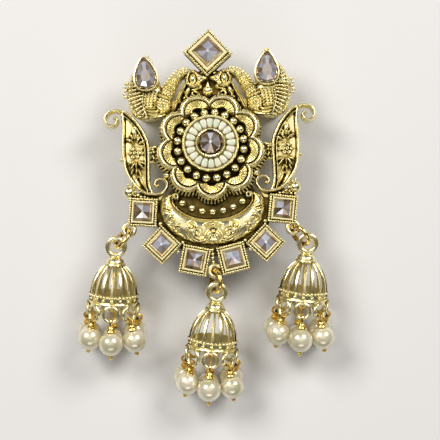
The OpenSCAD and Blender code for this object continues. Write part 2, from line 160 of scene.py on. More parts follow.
def noise(tree, scale, detail=2.0):
    """Noise in the piece's own space."""
    coords = add_node(tree, "ShaderNodeTexCoord", {})["Object"]
    return add_node(tree, "ShaderNodeTexNoise", {"Scale": scale, "Detail": detail, "Vector": coords})["Fac"]


def add_sockets(tree, in_out, rows):
    """A node group's named sockets, from rows of name, kind and, where it has one, value."""
    for name, kind, *value in rows:
        socket = tree.interface.new_socket(name, in_out=in_out, socket_type="NodeSocket" + kind)
        if value:
            socket.default_value = value[0]


def tarnish_and_shade_group():
    """Colour, roughness and surface of gold that is dark where its mask of oxide and painted shade is high.
    """
    tree = bpy.data.node_groups.new("tarnish_and_shade", "ShaderNodeTree")
    white = (1, 1, 1, 1)
    add_sockets(tree, "INPUT", (("Recess", "Float", 0.0), ("High", "Color", white), ("Mid", "Color", white),
                                ("Low", "Color", white), ("Dark", "Color", white), ("Polish", "Float", 0.2),
                                ("Relief", "Float", 0.1)))
    add_sockets(tree, "OUTPUT", (("Color", "Color"), ("Roughness", "Float"), ("Normal", "Vector")))
    given = add_node(tree, "NodeGroupInput", {})
    blotches = number(tree, "MULTIPLY_ADD", noise(tree, 700, 4), 0.36, -0.18)
    mask = number(tree, "ADD", given["Recess"], blotches, clamp=True)
    colour = given["High"]
    for low, high, name in ((0.08, 0.38, "Mid"), (0.36, 0.66, "Low"), (0.62, 0.95, "Dark")):
        share = add_node(tree, "ShaderNodeMapRange", {"Value": mask, "From Min": low, "From Max": high})
        colour = add_node(tree, "ShaderNodeMix", {0: share["Result"], 6: colour, 7: given[name]},
                          data_type="RGBA")[2]
    rough = add_node(tree, "ShaderNodeMapRange", {"Value": mask, "To Min": given["Polish"], "To Max": 0.62})
    surface = add_node(tree, "ShaderNodeBump", {"Distance": 0.06 * MM, "Strength": given["Relief"],
                                                "Height": noise(tree, 3200, 3)})
    add_node(tree, "NodeGroupOutput", {"Color": colour, "Roughness": rough["Result"],
                                       "Normal": surface["Normal"]})
    return tree


tarnish_and_shade = tarnish_and_shade_group()


def gold_material(name, high, mid, low, dark, polish, relief):
    """Gold in four tones, from its high places down to its recesses, darkened by oxide and painted shade."""
    material = bpy.data.materials.new(name)
    material.use_nodes = True
    tree = material.node_tree
    shader = tree.nodes["Principled BSDF"]
    shader.inputs["Metallic"].default_value = 1
    oxide_and_shade = add_node(tree, "ShaderNodeAttribute", {}, attribute_name="oxide_and_shade")["Fac"]
    finish = tree.nodes.new("ShaderNodeGroup")
    finish.node_tree = tarnish_and_shade
    tree.links.new(oxide_and_shade, finish.inputs["Recess"])
    for socket, value in (("High", high), ("Mid", mid), ("Low", low), ("Dark", dark)):
        finish.inputs[socket].default_value = (*value, 1)
    finish.inputs["Polish"].default_value = polish
    finish.inputs["Relief"].default_value = relief
    for output, socket in (("Color", "Base Color"), ("Roughness", "Roughness"), ("Normal", "Normal")):
        tree.links.new(finish.outputs[output], shader.inputs[socket])
    return material


antique_gold = gold_material("antique_gold", antique_high, antique_mid, low_oxide_and_shade, dark_oxide_and_shade,
                             polish=0.27, relief=0.15)
gold_pieces = []
# Heights under which each piece is darkened with painted shade.
painted_shade_below = {}


def placed_mesh(name, points, edges, faces):
    """A mesh from points in mm from the flower's centre, with heights over the table."""
    mesh = bpy.data.meshes.new(name)
    placed = (np.asarray(points, float) + (flower_at.x, flower_at.y, 0)) * MM
    mesh.from_pydata(placed.tolist(), edges, [tuple(map(int, face)) for face in faces])
    return mesh


def fixed_piece(name, mesh, material, nodes):
    """A finished piece that stays in place and stands for the given CAD nodes."""
    piece = add_object(name, mesh, material)
    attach(piece, "root")
    for node in nodes:
        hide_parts(node)
    return piece


def cast_piece(name, points, faces, material=antique_gold, nodes=("frame",), sharp=40):
    """A gold piece, smooth but for the edges sharper than the given angle."""
    mesh = placed_mesh(name, points, [], faces)
    mesh.polygons.foreach_set("use_smooth", [True] * len(mesh.polygons))
    mesh.set_sharp_from_angle(angle=math.radians(sharp))
    gold_pieces.append(fixed_piece(name, mesh, material, nodes))


def smooth_path(rows, steps=6, closed=False):
    """A curve through the rows of a table."""
    rows = np.asarray(rows, float)
    count = len(rows)
    path = []
    for i in range(count if closed else count - 1):
        a, b, c, d = (rows[(i + k) % count] if closed else rows[min(max(i + k, 0), count - 1)]
                      for k in (-1, 0, 1, 2))
        for t in np.arange(steps) / steps:
            path.append(0.5 * (2 * b + (c - a) * t + (2 * a - 5 * b + 4 * c - d) * t ** 2
                               + (3 * b - a - 3 * c + d) * t ** 3))
    if not closed:
        path.append(rows[-1])
    return np.array(path)


def path_reach(x, y, path):
    """Distance of each point to a path, and how far along it, in mm, its nearest place is."""
    best = np.full(x.shape, 1e9)
    along = np.zeros(x.shape)
    start = 0.0
    for a, b in zip(path[:-1], path[1:]):
        step = b - a
        length = max(np.hypot(*step), 1e-9)
        t = np.clip(((x - a[0]) * step[0] + (y - a[1]) * step[1]) / length ** 2, 0, 1)
        reach = np.hypot(x - a[0] - t * step[0], y - a[1] - t * step[1])
        near = reach < best
        best = np.where(near, reach, best)
        along = np.where(near, start + t * length, along)
        start += length
    return best, along, start


def inside_reach(x, y, outline):
    """How far inside an outline each point is, and less than nothing outside it."""
    outline = np.asarray(outline, float)
    loop = np.vstack([outline, outline[:1]])
    reach = path_reach(x, y, loop)[0]
    crossings = np.zeros(x.shape, bool)
    for a, b in zip(loop[:-1], loop[1:]):
        if a[1] == b[1]:
            continue
        spans = (a[1] > y) != (b[1] > y)
        crossings ^= spans & (x < a[0] + (y - a[1]) * (b[0] - a[0]) / (b[1] - a[1]))
    return np.where(crossings, reach, -reach)


class Relief:
    """A cast relief: heights in mm over the flat back on a fine square net."""

    skin = 0.15
    thinnest = 0.3
    seat_margin = 0.1

    def __init__(self, low, high, step):
        self.step = step
        self.x, self.y = np.meshgrid(np.arange(low[0], high[0] + step, step),
                                     np.arange(low[1], high[1] + step, step), indexing="ij")
        self.height = np.zeros(self.x.shape)
        self.inside = np.full(self.x.shape, -9.0)  # mm inside the outline, less than nothing outside

    def add(self, inside, height):
        """Raise the relief to a height, where that is the higher, as far as the form reaches."""
        self.height = np.where(inside > -self.skin, np.maximum(self.height, height), self.height)
        self.inside = np.maximum(self.inside, inside)

    def pillow(self, outline, low, top, soft):
        """A form that rises from low at its outline to the top over the soft width."""
        inside = inside_reach(self.x, self.y, outline)
        t = np.clip(inside / soft, 0, 1)
        self.add(inside, low + (top - low) * np.sqrt(1 - (1 - t) ** 2))

    def wire(self, path, half_width, low, top, end_width=None):
        """A round wire along a path, which may thin towards its end."""
        reach, along, length = path_reach(self.x, self.y, np.asarray(path, float))
        end_width = half_width if end_width is None else end_width
        width = half_width + (end_width - half_width) * along / length
        t = np.clip(reach / width, 0, 1)
        self.add(width - reach, low + (top - low) * np.sqrt(1 - t ** 2))

    def dome(self, centre, radii, turn, low, top):
        """An oval dome, turned by an angle."""
        u = (self.x - centre[0]) * math.cos(turn) + (self.y - centre[1]) * math.sin(turn)
        v = (self.y - centre[1]) * math.cos(turn) - (self.x - centre[0]) * math.sin(turn)
        q = np.hypot(u / radii[0], v / radii[1])
        self.add((1 - q) * min(radii), low + (top - low) * np.sqrt(1 - np.clip(q, 0, 1) ** 2))

    def carve(self, path, half_width, depth):
        """A soft groove along a path, or a ridge where the depth is less than nothing."""
        reach = path_reach(self.x, self.y, np.asarray(path, float))[0]
        self.height = self.height - depth * np.exp(-(reach / half_width) ** 2)

    def seats(self, spots, lift):
        """The spots that lie on the relief, put on its surface with a lift."""
        spots = np.asarray(spots, float)
        i, j = (np.clip(np.rint((spots[:, k] - net[0, 0]) / self.step).astype(int), 0, net.shape[k] - 1)
                for k, net in enumerate((self.x, self.y)))
        on = self.inside[i, j] > self.seat_margin
        return np.column_stack([spots[on], back_z + self.height[i, j][on] + lift])

    def solid(self, foot):
        """Points and faces of the closed solid between the relief and its flat foot."""
        step = self.step
        held = self.inside > -step / 2
        cells = held[:-1, :-1] & held[1:, :-1] & held[:-1, 1:] & held[1:, 1:]
        padded = np.pad(cells, 1)
        around = np.stack([padded[:-1, :-1], padded[1:, :-1], padded[:-1, 1:], padded[1:, 1:]])
        used = around.any(0)
        edge = used & ~around.all(0)
        slope_x, slope_y = np.gradient(self.inside, step)
        steep = np.maximum(np.hypot(slope_x, slope_y), 0.3)
        move = np.clip(-self.inside / steep, -step, step)
        x = np.where(edge, self.x + move * slope_x / steep, self.x)
        y = np.where(edge, self.y + move * slope_y / steep, self.y)
        index = np.cumsum(used.ravel()).reshape(used.shape) - 1
        count = int(used.sum())
        top = np.column_stack([x[used], y[used], back_z + np.maximum(self.height[used], self.thinnest)])
        points = np.vstack([top, np.column_stack([top[:, :2], np.full(count, foot)])])
        i, j = np.nonzero(cells)
        quad = np.column_stack([index[i, j], index[i + 1, j], index[i + 1, j + 1], index[i, j + 1]])
        faces = [quad, quad[:, ::-1] + count]
        for di, dj, a, b in ((0, -1, (0, 0), (1, 0)), (1, 0, (1, 0), (1, 1)),
                             (0, 1, (1, 1), (0, 1)), (-1, 0, (0, 1), (0, 0))):
            open_side = ~padded[i + 1 + di, j + 1 + dj]
            p = index[i[open_side] + a[0], j[open_side] + a[1]]
            q = index[i[open_side] + b[0], j[open_side] + b[1]]
            faces.append(np.column_stack([q, p, p + count, q + count]))
        return points, np.vstack(faces)

    def cast(self, name, foot, mirrored=False):
        """The relief as a gold piece down to its foot, or its mirror image."""
        points, faces = self.solid(foot)
        if mirrored:
            points = points * (-1, 1, 1)
            faces = faces[:, ::-1]
        cast_piece(name, points, faces, sharp=60)


# Sizes of one petal from its own centre, and of the skirt from the middle, in mm.
petal_count = 9
petal_step = 2 * math.pi / petal_count
petal_centre = 7.5
petal_reach = 3.3
petals_drop = 0.45
rim_foot = 3.1
rim_rise = 0.8
rim_least_width = 0.35
rim_swell = 0.65
groove_width = 0.14
groove_height = 2.7
flute_count = 22
flute_foot = 3.0
flute_slope = 0.2
flute_rise = 0.45
flute_power = 0.35
hollow_in = 0.5
hollow_reach = 1.15
hollow_height = 1.3
step_reach = 7.2
step_height = 2.1
petal_slope = 2.2
skirt_drop = 0.8
skirt_reach = 9.65
skirt_scallop = 1.55
scallop_power = 0.6
skirt_from = 8.3
skirt_foot = 2.2
skirt_slope = 0.6
skirt_bevel = 0.8
skirt_ribs_each = 11
skirt_rib_reach = 0.12
skirt_rib_rise = 0.32
flower = Relief((-11.5, -12.3), (11.5, 11.3), 0.09)
ring = np.hypot(flower.x, flower.y + petals_drop)
petal_way = np.arctan2(flower.y + petals_drop, flower.x) + math.pi / 2
from_petal = (petal_way + petal_step / 2) % petal_step - petal_step / 2
petal_x = ring * np.cos(from_petal) - petal_centre
petal_y = ring * np.sin(from_petal)
petal_r = np.hypot(petal_x, petal_y)
petal_turn = np.arctan2(petal_y, petal_x)
skirt_turn = np.arctan2(flower.y + skirt_drop, flower.x)
skirt_ribs = np.cos(skirt_turn * petal_count * skirt_ribs_each)
scallops = np.abs(np.cos((skirt_turn + math.pi / 2) * petal_count / 2)) ** scallop_power
skirt_inside = (skirt_reach + skirt_scallop * scallops + skirt_rib_reach * skirt_ribs
                - np.hypot(flower.x, flower.y + skirt_drop))
skirt_height = (skirt_foot + skirt_slope * np.clip(skirt_inside, 0, skirt_bevel)
                + skirt_rib_rise * skirt_ribs)
under_petals = (petal_r < petal_reach) | (ring < skirt_from)
flower.add(skirt_inside, np.where(under_petals, hollow_height, skirt_height))
flower.add(step_reach - ring, step_height)
rim_width = rim_least_width + rim_swell * np.cos(petal_turn / 2) ** 2
into_rim = petal_r - petal_reach + rim_width
rim_t = np.clip(np.abs(2 * into_rim / rim_width - 1), 0, 1)
flutes = (0.5 + 0.5 * np.cos(petal_turn * flute_count)) ** flute_power
petal_height = np.where(into_rim > 0, rim_foot + rim_rise * np.sqrt(1 - rim_t ** 2),
                        flute_foot + flute_slope * petal_r + flute_rise * flutes)
petal_height = np.where((into_rim > -groove_width) & (into_rim < 0), groove_height, petal_height)
in_hollow = np.hypot(petal_x + hollow_in, petal_y) < hollow_reach
petal_height = np.where(in_hollow, hollow_height, petal_height)
petal_height = np.minimum(petal_height, step_height + petal_slope * np.clip(ring - step_reach, 0, 1))
flower.add(petal_reach - petal_r, petal_height)
flower.cast("flower", back_z)
# Painted shade on the flower's low places.
painted_shade_below["flower"] = 2.4

# Gold balls round the flower's collet
# Twenty plain balls, soldered side by side on the sunk step, each with a bright round top.
ball_radius = 0.81
ball_circle = 6.7
ball_height = 2.95
balls_drop = 0.3
ball_count = 20


def grain_tree(name, on_path):
    """Small beads along a path or on points, with named sizes."""
    tree = bpy.data.node_groups.new(name, "GeometryNodeTree")
    add_sockets(tree, "INPUT", (("Geometry", "Geometry"), ("Radius", "Float", 0.0003),
                                ("Spacing", "Float", 0.0006), ("Flatness", "Float", 1.0),
                                ("Unevenness", "Float", 0.0), ("Sides", "Int", 8), ("Seed", "Int", 1),
                                ("Material", "Material")))
    add_sockets(tree, "OUTPUT", (("Geometry", "Geometry"),))
    given = add_node(tree, "NodeGroupInput", {})
    seats = given["Geometry"]
    if on_path:
        curve = add_node(tree, "GeometryNodeMeshToCurve", {"Mesh": seats})["Curve"]
        seats = add_node(tree, "GeometryNodeResampleCurve", {"Curve": curve, "Length": given["Spacing"]},
                         mode="LENGTH")["Curve"]
    rings = number(tree, "MULTIPLY", given["Sides"], 0.75)
    ball = add_node(tree, "GeometryNodeMeshUVSphere", {"Radius": 1, "Segments": given["Sides"],
                                                       "Rings": rings})["Mesh"]
    least = number(tree, "SUBTRACT", 1.0, given["Unevenness"])
    chance = add_node(tree, "FunctionNodeRandomValue", {2: least, "Seed": given["Seed"]},
                      data_type="FLOAT")[1]
    size = number(tree, "MULTIPLY", chance, given["Radius"])
    tall = number(tree, "MULTIPLY", size, given["Flatness"])
    scale = add_node(tree, "ShaderNodeCombineXYZ", {"X": size, "Y": size, "Z": tall})["Vector"]
    beads = add_node(tree, "GeometryNodeInstanceOnPoints", {"Points": seats, "Instance": ball,
                                                            "Scale": scale})["Instances"]
    real = add_node(tree, "GeometryNodeRealizeInstances", {"Geometry": beads})["Geometry"]
    smooth = add_node(tree, "GeometryNodeSetShadeSmooth", {"Geometry": real})["Geometry"]
    painted = add_node(tree, "GeometryNodeSetMaterial", {"Geometry": smooth, "Material": given["Material"]})
    add_node(tree, "NodeGroupOutput", {"Geometry": painted["Geometry"]})
    return tree


def made_mesh(mesh, tree, values):
    """The plain mesh that a node tree makes of a mesh, with the tree's inputs set by name."""
    holder = bpy.data.objects.new(mesh.name, mesh)
    bpy.context.scene.collection.objects.link(holder)
    modifier = holder.modifiers.new("maker", "NODES")
    modifier.node_group = tree
    for socket in tree.interface.items_tree:
        if socket.item_type == "SOCKET" and socket.in_out == "INPUT" and socket.name in values:
            modifier[socket.identifier] = values[socket.name]
    made = bpy.data.meshes.new_from_object(holder.evaluated_get(bpy.context.evaluated_depsgraph_get()))
    bpy.data.objects.remove(holder)
    return made


grains_on_path = grain_tree("grains_on_path", True)
grains_on_seats = grain_tree("grains_on_seats", False)


def grains(name, paths, radius, spacing=None, closed=False, flatness=1.0, unevenness=0.0, sides=8):
    """Gold beads on the given paths, or on each point where no spacing is given, in mm."""
    points, edges = [], []
    for path in paths:
        first = len(points)
        points += [tuple(p) for p in path]
        edges += [(k, k + 1) for k in range(first, len(points) - 1)]
        if closed:
            edges.append((len(points) - 1, first))
    seats = placed_mesh(name + "_seats", points, edges if spacing else [], [])
    values = {"Radius": radius * MM, "Spacing": (spacing or 1) * MM, "Flatness": flatness,
              "Unevenness": unevenness, "Sides": sides, "Seed": 3, "Material": antique_gold}
    mesh = made_mesh(seats, grains_on_path if spacing else grains_on_seats, values)
    mesh.name = name
    gold_pieces.append(fixed_piece(name, mesh, antique_gold, ("frame",)))


def at_height(flat, height):
    """Flat points, raised to a height over the back."""
    return np.column_stack([flat, np.full(len(flat), back_z + height)])


def polar(radius, turns, centre=(0, 0)):
    """Flat points at the given turns round a centre."""
    return np.column_stack([centre[0] + radius * np.cos(turns), centre[1] + radius * np.sin(turns)])


def circle(radius, height, count, start=0.0):
    """Points evenly round the flower's axis."""
    return at_height(polar(radius, start + 2 * math.pi * np.arange(count) / count), height)


flower_balls = circle(ball_circle, ball_height, ball_count, math.pi / ball_count) - (0, balls_drop, 0)
grains("flower_balls", [flower_balls], ball_radius, sides=20)

# Collets of the flower
# Two plain turned cups, one in the other, soldered on the flower: the outer holds the seed beads
# and the inner, with a notched lip, holds the round stone.


def ring_faces(rows, count, closed=False):
    """Faces between rows of as many points each, where every row is a ring."""
    return [(r * count + k, r * count + (k + 1) % count, (r + 1) % rows * count + (k + 1) % count,
             (r + 1) % rows * count + k) for r in range(rows if closed else rows - 1) for k in range(count)]


def lathe(profile, count, notch=0.0, notches=0, lip_depth=0.15):
    """Points and faces of a closed profile of radius and height over the back, turned round."""
    profile = np.asarray(profile, float)
    lip = profile[:, 1].max() - lip_depth
    points = []
    for turn in 2 * math.pi * np.arange(count) / count:
        ripple = notch * math.cos(notches * turn)
        for radius, height in profile:
            rise = ripple if height > lip else 0
            points.append((radius * math.cos(turn), radius * math.sin(turn), height + rise))
    return np.array(points), [(a, d, c, b) for a, b, c, d in ring_faces(count, len(profile), closed=True)]


outer_collet = [(5.05, 2.0), (5.72, 2.0), (5.72, 4.1), (5.68, 4.35), (5.55, 4.5), (5.38, 4.5), (5.24, 4.38),
                (5.18, 4.1), (5.18, 3.25), (5.05, 3.2)]
inner_collet = [(2.3, 3.0), (2.98, 3.0), (2.98, 4.5), (2.93, 4.75), (2.78, 4.9), (2.6, 4.88), (2.46, 4.7),
                (2.42, 4.4), (2.42, 3.7), (2.3, 3.65)]
bead_floor = [(2.9, 3.0), (5.1, 3.0), (5.1, 3.2), (2.9, 3.2)]
for name, profile, count, notch, notches in (("outer_collet", outer_collet, 96, 0, 0),
                                             ("inner_collet", inner_collet, 144, 0.05, 36),
                                             ("bead_floor", bead_floor, 48, 0, 0)):
    points, faces = lathe(profile, count, notch, notches)
    cast_piece(name, points + (0, 0, back_z), faces)
# Painted shade on the bead floor under the beads.
painted_shade_below["bead_floor"] = 3.38

# Seed beads
# Twenty pale mint glass beads, a little squared, laid side by side in the ring between the two
# collets, their holes hidden between neighbours.
bead_half = (0.94, 0.62, 0.5)
bead_circle = 4.11
bead_squareness = 0.62


def colour_ramp(tree, value, stops):
    """Colours by a value, from stops of place and colour."""
    ramp = tree.nodes.new("ShaderNodeValToRGB")
    tree.links.new(value, ramp.inputs["Fac"])
    for k, (place, colour) in enumerate(stops):
        stop = ramp.color_ramp.elements[k] if k < 2 else ramp.color_ramp.elements.new(place)
        stop.position = place
        stop.color = (*colour, 1)
    return ramp.outputs["Color"]


def glass_bead_material():
    """Pale mint glass, clouded with cream."""
    material = plain_material("mint_glass", (0.74, 0.80, 0.66), 0.22)
    tree = material.node_tree
    shader = tree.nodes["Principled BSDF"]
    shader.inputs["Coat Weight"].default_value = 0.5
    shader.inputs["Subsurface Weight"].default_value = 0.15
    shader.inputs["Subsurface Scale"].default_value = 0.0006
    tint = colour_ramp(tree, noise(tree, 520), ((0.35, (0.66, 0.71, 0.53)), (0.65, (0.88, 0.82, 0.64))))
    tree.links.new(tint, shader.inputs["Base Color"])
    return material


def new_piece(name, points, faces, material, node, smooth=True):
    """A piece that isn't gold."""
    mesh = placed_mesh(name, points, [], faces)
    mesh.polygons.foreach_set("use_smooth", [smooth] * len(mesh.polygons))
    return fixed_piece(name, mesh, material, (node,))


def ball_net(across=16, down=10, squareness=1.0):
    """Points and faces of a closed ball of radius 1, squared off by the squareness."""
    def soft(value):
        return np.sign(value) * np.abs(value) ** squareness
    points = [(0, 0, -1)]
    for j in range(1, down):
        lift = math.pi * j / down - math.pi / 2
        for i in range(across):
            turn = 2 * math.pi * i / across
            points.append((soft(math.cos(lift)) * soft(math.cos(turn)),
                           soft(math.cos(lift)) * soft(math.sin(turn)), soft(math.sin(lift))))
    points.append((0, 0, 1))
    last = len(points) - 1
    faces = [(0, 1 + (i + 1) % across, 1 + i) for i in range(across)]
    faces += [tuple(1 + k for k in face) for face in ring_faces(down - 1, across)]
    top = 1 + (down - 2) * across
    faces += [(top + i, top + (i + 1) % across, last) for i in range(across)]
    return np.array(points, float), faces


def joined(parts):
    """One list of points and one of faces from several."""
    points, faces, first = [], [], 0
    for part_points, part_faces in parts:
        points.append(np.asarray(part_points, float))
        faces += [tuple(first + int(k) for k in face) for face in part_faces]
        first += len(part_points)
    return np.vstack(points), faces


def turned(points, degrees, place):
    """Points turned about the upright axis and then moved."""
    turn = math.radians(degrees)
    matrix = np.array([[math.cos(turn), math.sin(turn), 0],
                       [-math.sin(turn), math.cos(turn), 0], [0, 0, 1]])
    return np.asarray(points, float) @ matrix + (place[0], place[1], 0)


def repeat_tree():
    """One form repeated round the upright axis, with a named count and start."""
    tree = bpy.data.node_groups.new("repeat_round", "GeometryNodeTree")
    add_sockets(tree, "INPUT", (("Geometry", "Geometry"), ("Count", "Int"), ("Start", "Float"),
                                ("Material", "Material")))
    add_sockets(tree, "OUTPUT", (("Geometry", "Geometry"),))
    given = add_node(tree, "NodeGroupInput", {})
    seats = add_node(tree, "GeometryNodeMeshLine", {"Offset": (0, 0, 0), "Count": given["Count"]})["Mesh"]
    index = add_node(tree, "GeometryNodeInputIndex", {})[0]
    step = number(tree, "DIVIDE", 2 * math.pi, given["Count"])
    turn = number(tree, "MULTIPLY_ADD", index, step, given["Start"])
    way = add_node(tree, "ShaderNodeCombineXYZ", {"Z": turn})["Vector"]
    forms = add_node(tree, "GeometryNodeInstanceOnPoints", {"Points": seats, "Instance": given["Geometry"],
                                                            "Rotation": way})["Instances"]
    real = add_node(tree, "GeometryNodeRealizeInstances", {"Geometry": forms})["Geometry"]
    painted = add_node(tree, "GeometryNodeSetMaterial", {"Geometry": real, "Material": given["Material"]})
    add_node(tree, "NodeGroupOutput", {"Geometry": painted["Geometry"]})
    return tree


repeat_round = repeat_tree()


def repeated(points, faces, count, start=0.0):
    """Points and faces of a form repeated round the upright axis."""
    mesh = bpy.data.meshes.new("form")
    mesh.from_pydata(np.asarray(points, float).tolist(), [], [tuple(map(int, face)) for face in faces])
    made = made_mesh(mesh, repeat_round, {"Count": count, "Start": start, "Material": antique_gold})
    places = np.empty(3 * len(made.vertices))
    made.vertices.foreach_get("co", places)
    return places.reshape(-1, 3), [tuple(face.vertices) for face in made.polygons]


bead_count = 20
bead_points, bead_faces = ball_net(squareness=bead_squareness)
bead_points = bead_points * bead_half + (bead_circle, 0, (bead_low.z + bead_high.z) / 2 / MM)
bead_points[:, 1] *= bead_points[:, 0] / bead_circle
points, faces = repeated(bead_points, bead_faces, bead_count)
mint_glass = glass_bead_material()
new_piece("mint_beads", points, faces, mint_glass, "seed_beads")

# Centre stone
# A round foiled glass stone, champagne to grey-lilac, cut with a small table and two rows of
# facets, held by the lip of the inner collet.


def stone_material():
    """Foiled glass with painted reflections: every facet has its own brightness, standing in for what it
    reflects.
    """
    material = plain_material("foiled_glass", (0.7, 0.65, 0.68), 0.05)
    tree = material.node_tree
    shader = tree.nodes["Principled BSDF"]
    shader.inputs["Metallic"].default_value = 0.45
    shader.inputs["Coat Weight"].default_value = 1
    shader.inputs["Coat Roughness"].default_value = 0.02
    tone = add_node(tree, "ShaderNodeAttribute", {}, attribute_name="tone")["Fac"]
    drift = number(tree, "MULTIPLY_ADD", noise(tree, 800), 0.35, -0.17)
    total = number(tree, "ADD", tone, drift, clamp=True)
    # Painted reflection colours of the facets, from dark to bright.
    stops = ((0.0, (0.05, 0.028, 0.012)), (0.25, (0.30, 0.20, 0.11)), (0.5, (0.47, 0.42, 0.39)),
             (0.75, (0.60, 0.59, 0.74)), (1.0, (0.90, 0.92, 1.0)))
    tree.links.new(colour_ramp(tree, total, stops), shader.inputs["Base Color"])
    return material


foiled_glass = stone_material()


def end_faces(rows, count):
    """The faces that close the first and the last ring of such rows."""
    return [tuple(range(count - 1, -1, -1)), tuple(range((rows - 1) * count, rows * count))]


def cut_stone(name, rings, place, degrees, node, facet_reflections, side_shade_share=0.45):
    """A stone with flat facets between rings of as many points each, each with a painted reflection; its
    lower facets are painted darker, as shade.
    """
    count = len(rings[0])
    rows = len(rings)
    faces = ring_faces(rows, count) + end_faces(rows, count)[::-1]
    piece = new_piece(name, turned(np.vstack(rings), degrees, place), faces, foiled_glass, node,
                      smooth=False)
    values = [facet_reflections[k % len(facet_reflections)] * (1 if k >= (rows - 2) * count else side_shade_share)
              for k in range(len(faces))]
    piece.data.attributes.new("tone", "FLOAT", "FACE").data.foreach_set("value", values)
    return piece


stone_low, stone_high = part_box("centre_stone")
stone_foot = stone_low.z / MM - back_z
stone_top = stone_high.z / MM - back_z
round_stone_rows = ((2.25, stone_foot), (2.25, stone_foot + 1.0), (2.0, stone_foot + 1.35),
                    (0.3, stone_top))
# Painted reflection of each facet, going round the stone.
round_reflections = (0.7, 0.3, 0.1, 0.5, 0.95, 0.25, 0.05, 0.6, 0.35, 1.0, 0.2, 0.45, 0.1)
cut_stone("round_stone", [circle(radius, height, 10) for radius, height in round_stone_rows], (0, 0), 0,
          "centre_stone", round_reflections)

# Peacocks
# Two peacocks cast with the front, mirror images, with their beaks together: granulated tails,
# scaly bodies, ribbed necks with thorny collars, and smooth leaf-shaped heads.
peacock = Relief((-17.4, 4.7), (-0.1, 17.3), 0.085)
x, y = peacock.x, peacock.y
body_outline = smooth_path([
    (-16.1, 13.7), (-16.5, 12.0), (-16.45, 9.5), (-16.0, 7.5), (-15.0, 6.2), (-13.5, 5.5), (-12.0, 5.3),
    (-10.0, 5.8), (-8.0, 6.9), (-7.6, 8.4), (-8.4, 10.2), (-9.6, 12.0), (-10.2, 14.0), (-11.2, 16.2),
    (-12.6, 17.0), (-14.1, 16.6), (-15.3, 15.2)], 3, closed=True)
peacock.pillow(body_outline, 1.4, 3.1, 1.6)

# The tail's rows fan out from one point, and the body's scales from another.
fan_at = (-5.2, 12.4)
fan_step = 0.076
tail_row_rise = 0.3
tail_row_sink = 0.2
scales_at = (-11.3, 12.6)
scales_from = 5.0
arc_step = 0.62
arc_rise = 0.45
scale_width = 0.72
scale_length = 1.1
scale_rise = 0.5
scale_sink = 0.3


def tail_seam(height):
    """How far to the side the granulated tail ends and the scaly body begins, at each height."""
    return -13.4 + 0.2 * np.maximum(10.3 - height, 0)


tail = (x < tail_seam(y)) & (peacock.inside > 0.1)
tail_rows = 0.5 + 0.5 * np.cos(2 * math.pi * np.arctan2(y - fan_at[1], x - fan_at[0]) / fan_step)
peacock.height += np.where(tail, tail_row_rise * tail_rows ** 0.7 - tail_row_sink, 0)
scale_reach = np.hypot(x - scales_at[0], y - scales_at[1])
arcs = 0.5 + 0.5 * np.cos(2 * math.pi * scale_reach / arc_step)
scales = 0.5 + 0.5 * (np.cos(2 * math.pi * (x + 0.5 * y) / scale_width)
                      * np.cos(2 * math.pi * y / scale_length))
small_scales = scale_rise * scales - scale_sink
body = (x >= tail_seam(y)) & (x < -7) & (y < 11) & (peacock.inside > 0.1)
feathers = np.where(scale_reach > scales_from, arc_rise * arcs - scale_sink, small_scales)
peacock.height += np.where(body, feathers, 0)
peacock.wire(smooth_path([(-13.2, 11.0), (-13.45, 9.2), (-13.2, 7.4), (-12.5, 5.6)]), 0.22, 2.4, 3.5)

# The neck has rows of knobs under five raised collars.
neck = smooth_path([(-9.5, 8.2), (-8.9, 10.0), (-7.8, 11.8), (-6.8, 13.3), (-5.6, 14.5), (-4.2, 14.9)])
neck_half = 1.8
neck_end_half = 0.75
knob_step = 0.66
knob_width = 0.7
knob_rise = 0.34
knob_sink = 0.3
collar_places = (1.7, 3.5, 5.1, 6.6, 7.9)
collar_width = 0.16
collar_rise = 0.45
peacock.wire(neck, neck_half, 1.3, 3.7, neck_end_half)
neck_reach, neck_along, neck_length = path_reach(x, y, neck)
on_neck = neck_reach < neck_half - (neck_half - neck_end_half) * neck_along / neck_length
knob_row = np.floor(neck_along / knob_step)
knob_side = (neck_reach / knob_width + 0.5 * (knob_row % 2)) % 1 - 0.5
knob_lean = neck_along / knob_step - knob_row - 0.5
knobs = np.sqrt(np.clip(1 - (knob_lean ** 2 + knob_side ** 2) / 0.24, 0, 1))
collars = sum(np.exp(-((neck_along - place) / collar_width) ** 2) for place in collar_places)
neck_relief = knob_rise * knobs - knob_sink + collar_rise * np.minimum(collars, 1)
peacock.height += np.where(on_neck & (neck_along > 0), neck_relief, np.where(on_neck, small_scales, 0))

# The head is a leaf with a raised line inside its edge, a domed cheek and a parted beak.
head = smooth_path([(-4.9, 13.9), (-4.5, 15.0), (-3.3, 15.5), (-2.2, 15.0), (-1.3, 14.2), (-0.35, 13.8),
                    (-0.4, 13.4), (-1.3, 13.0), (-1.9, 12.1), (-3.1, 11.6), (-4.3, 12.1), (-4.75, 13.0)],
                   3, closed=True)
peacock.pillow(head, 1.6, 2.85, 0.6)
peacock.wire(smooth_path([(-4.3, 12.4), (-4.3, 13.6), (-3.7, 14.7), (-3.0, 15.0), (-2.35, 14.2),
                          (-2.1, 13.0), (-2.6, 12.2), (-3.4, 11.9), (-4.3, 12.4)]), 0.2, 2.3, 3.15)
peacock.carve(smooth_path([(-3.85, 12.7), (-3.9, 13.6), (-3.3, 14.6), (-2.75, 14.1), (-2.5, 13.1),
                           (-3.0, 12.3)]), 0.14, 0.25)
peacock.dome((-3.2, 13.35), (0.72, 1.2), 0, 2.3, 3.6)
peacock.wire([(-2.1, 14.0), (-0.4, 13.6)], 0.35, 2.2, 3.1, 0.15)
peacock.wire([(-1.9, 12.9), (-0.4, 13.5)], 0.25, 2.0, 2.8, 0.12)

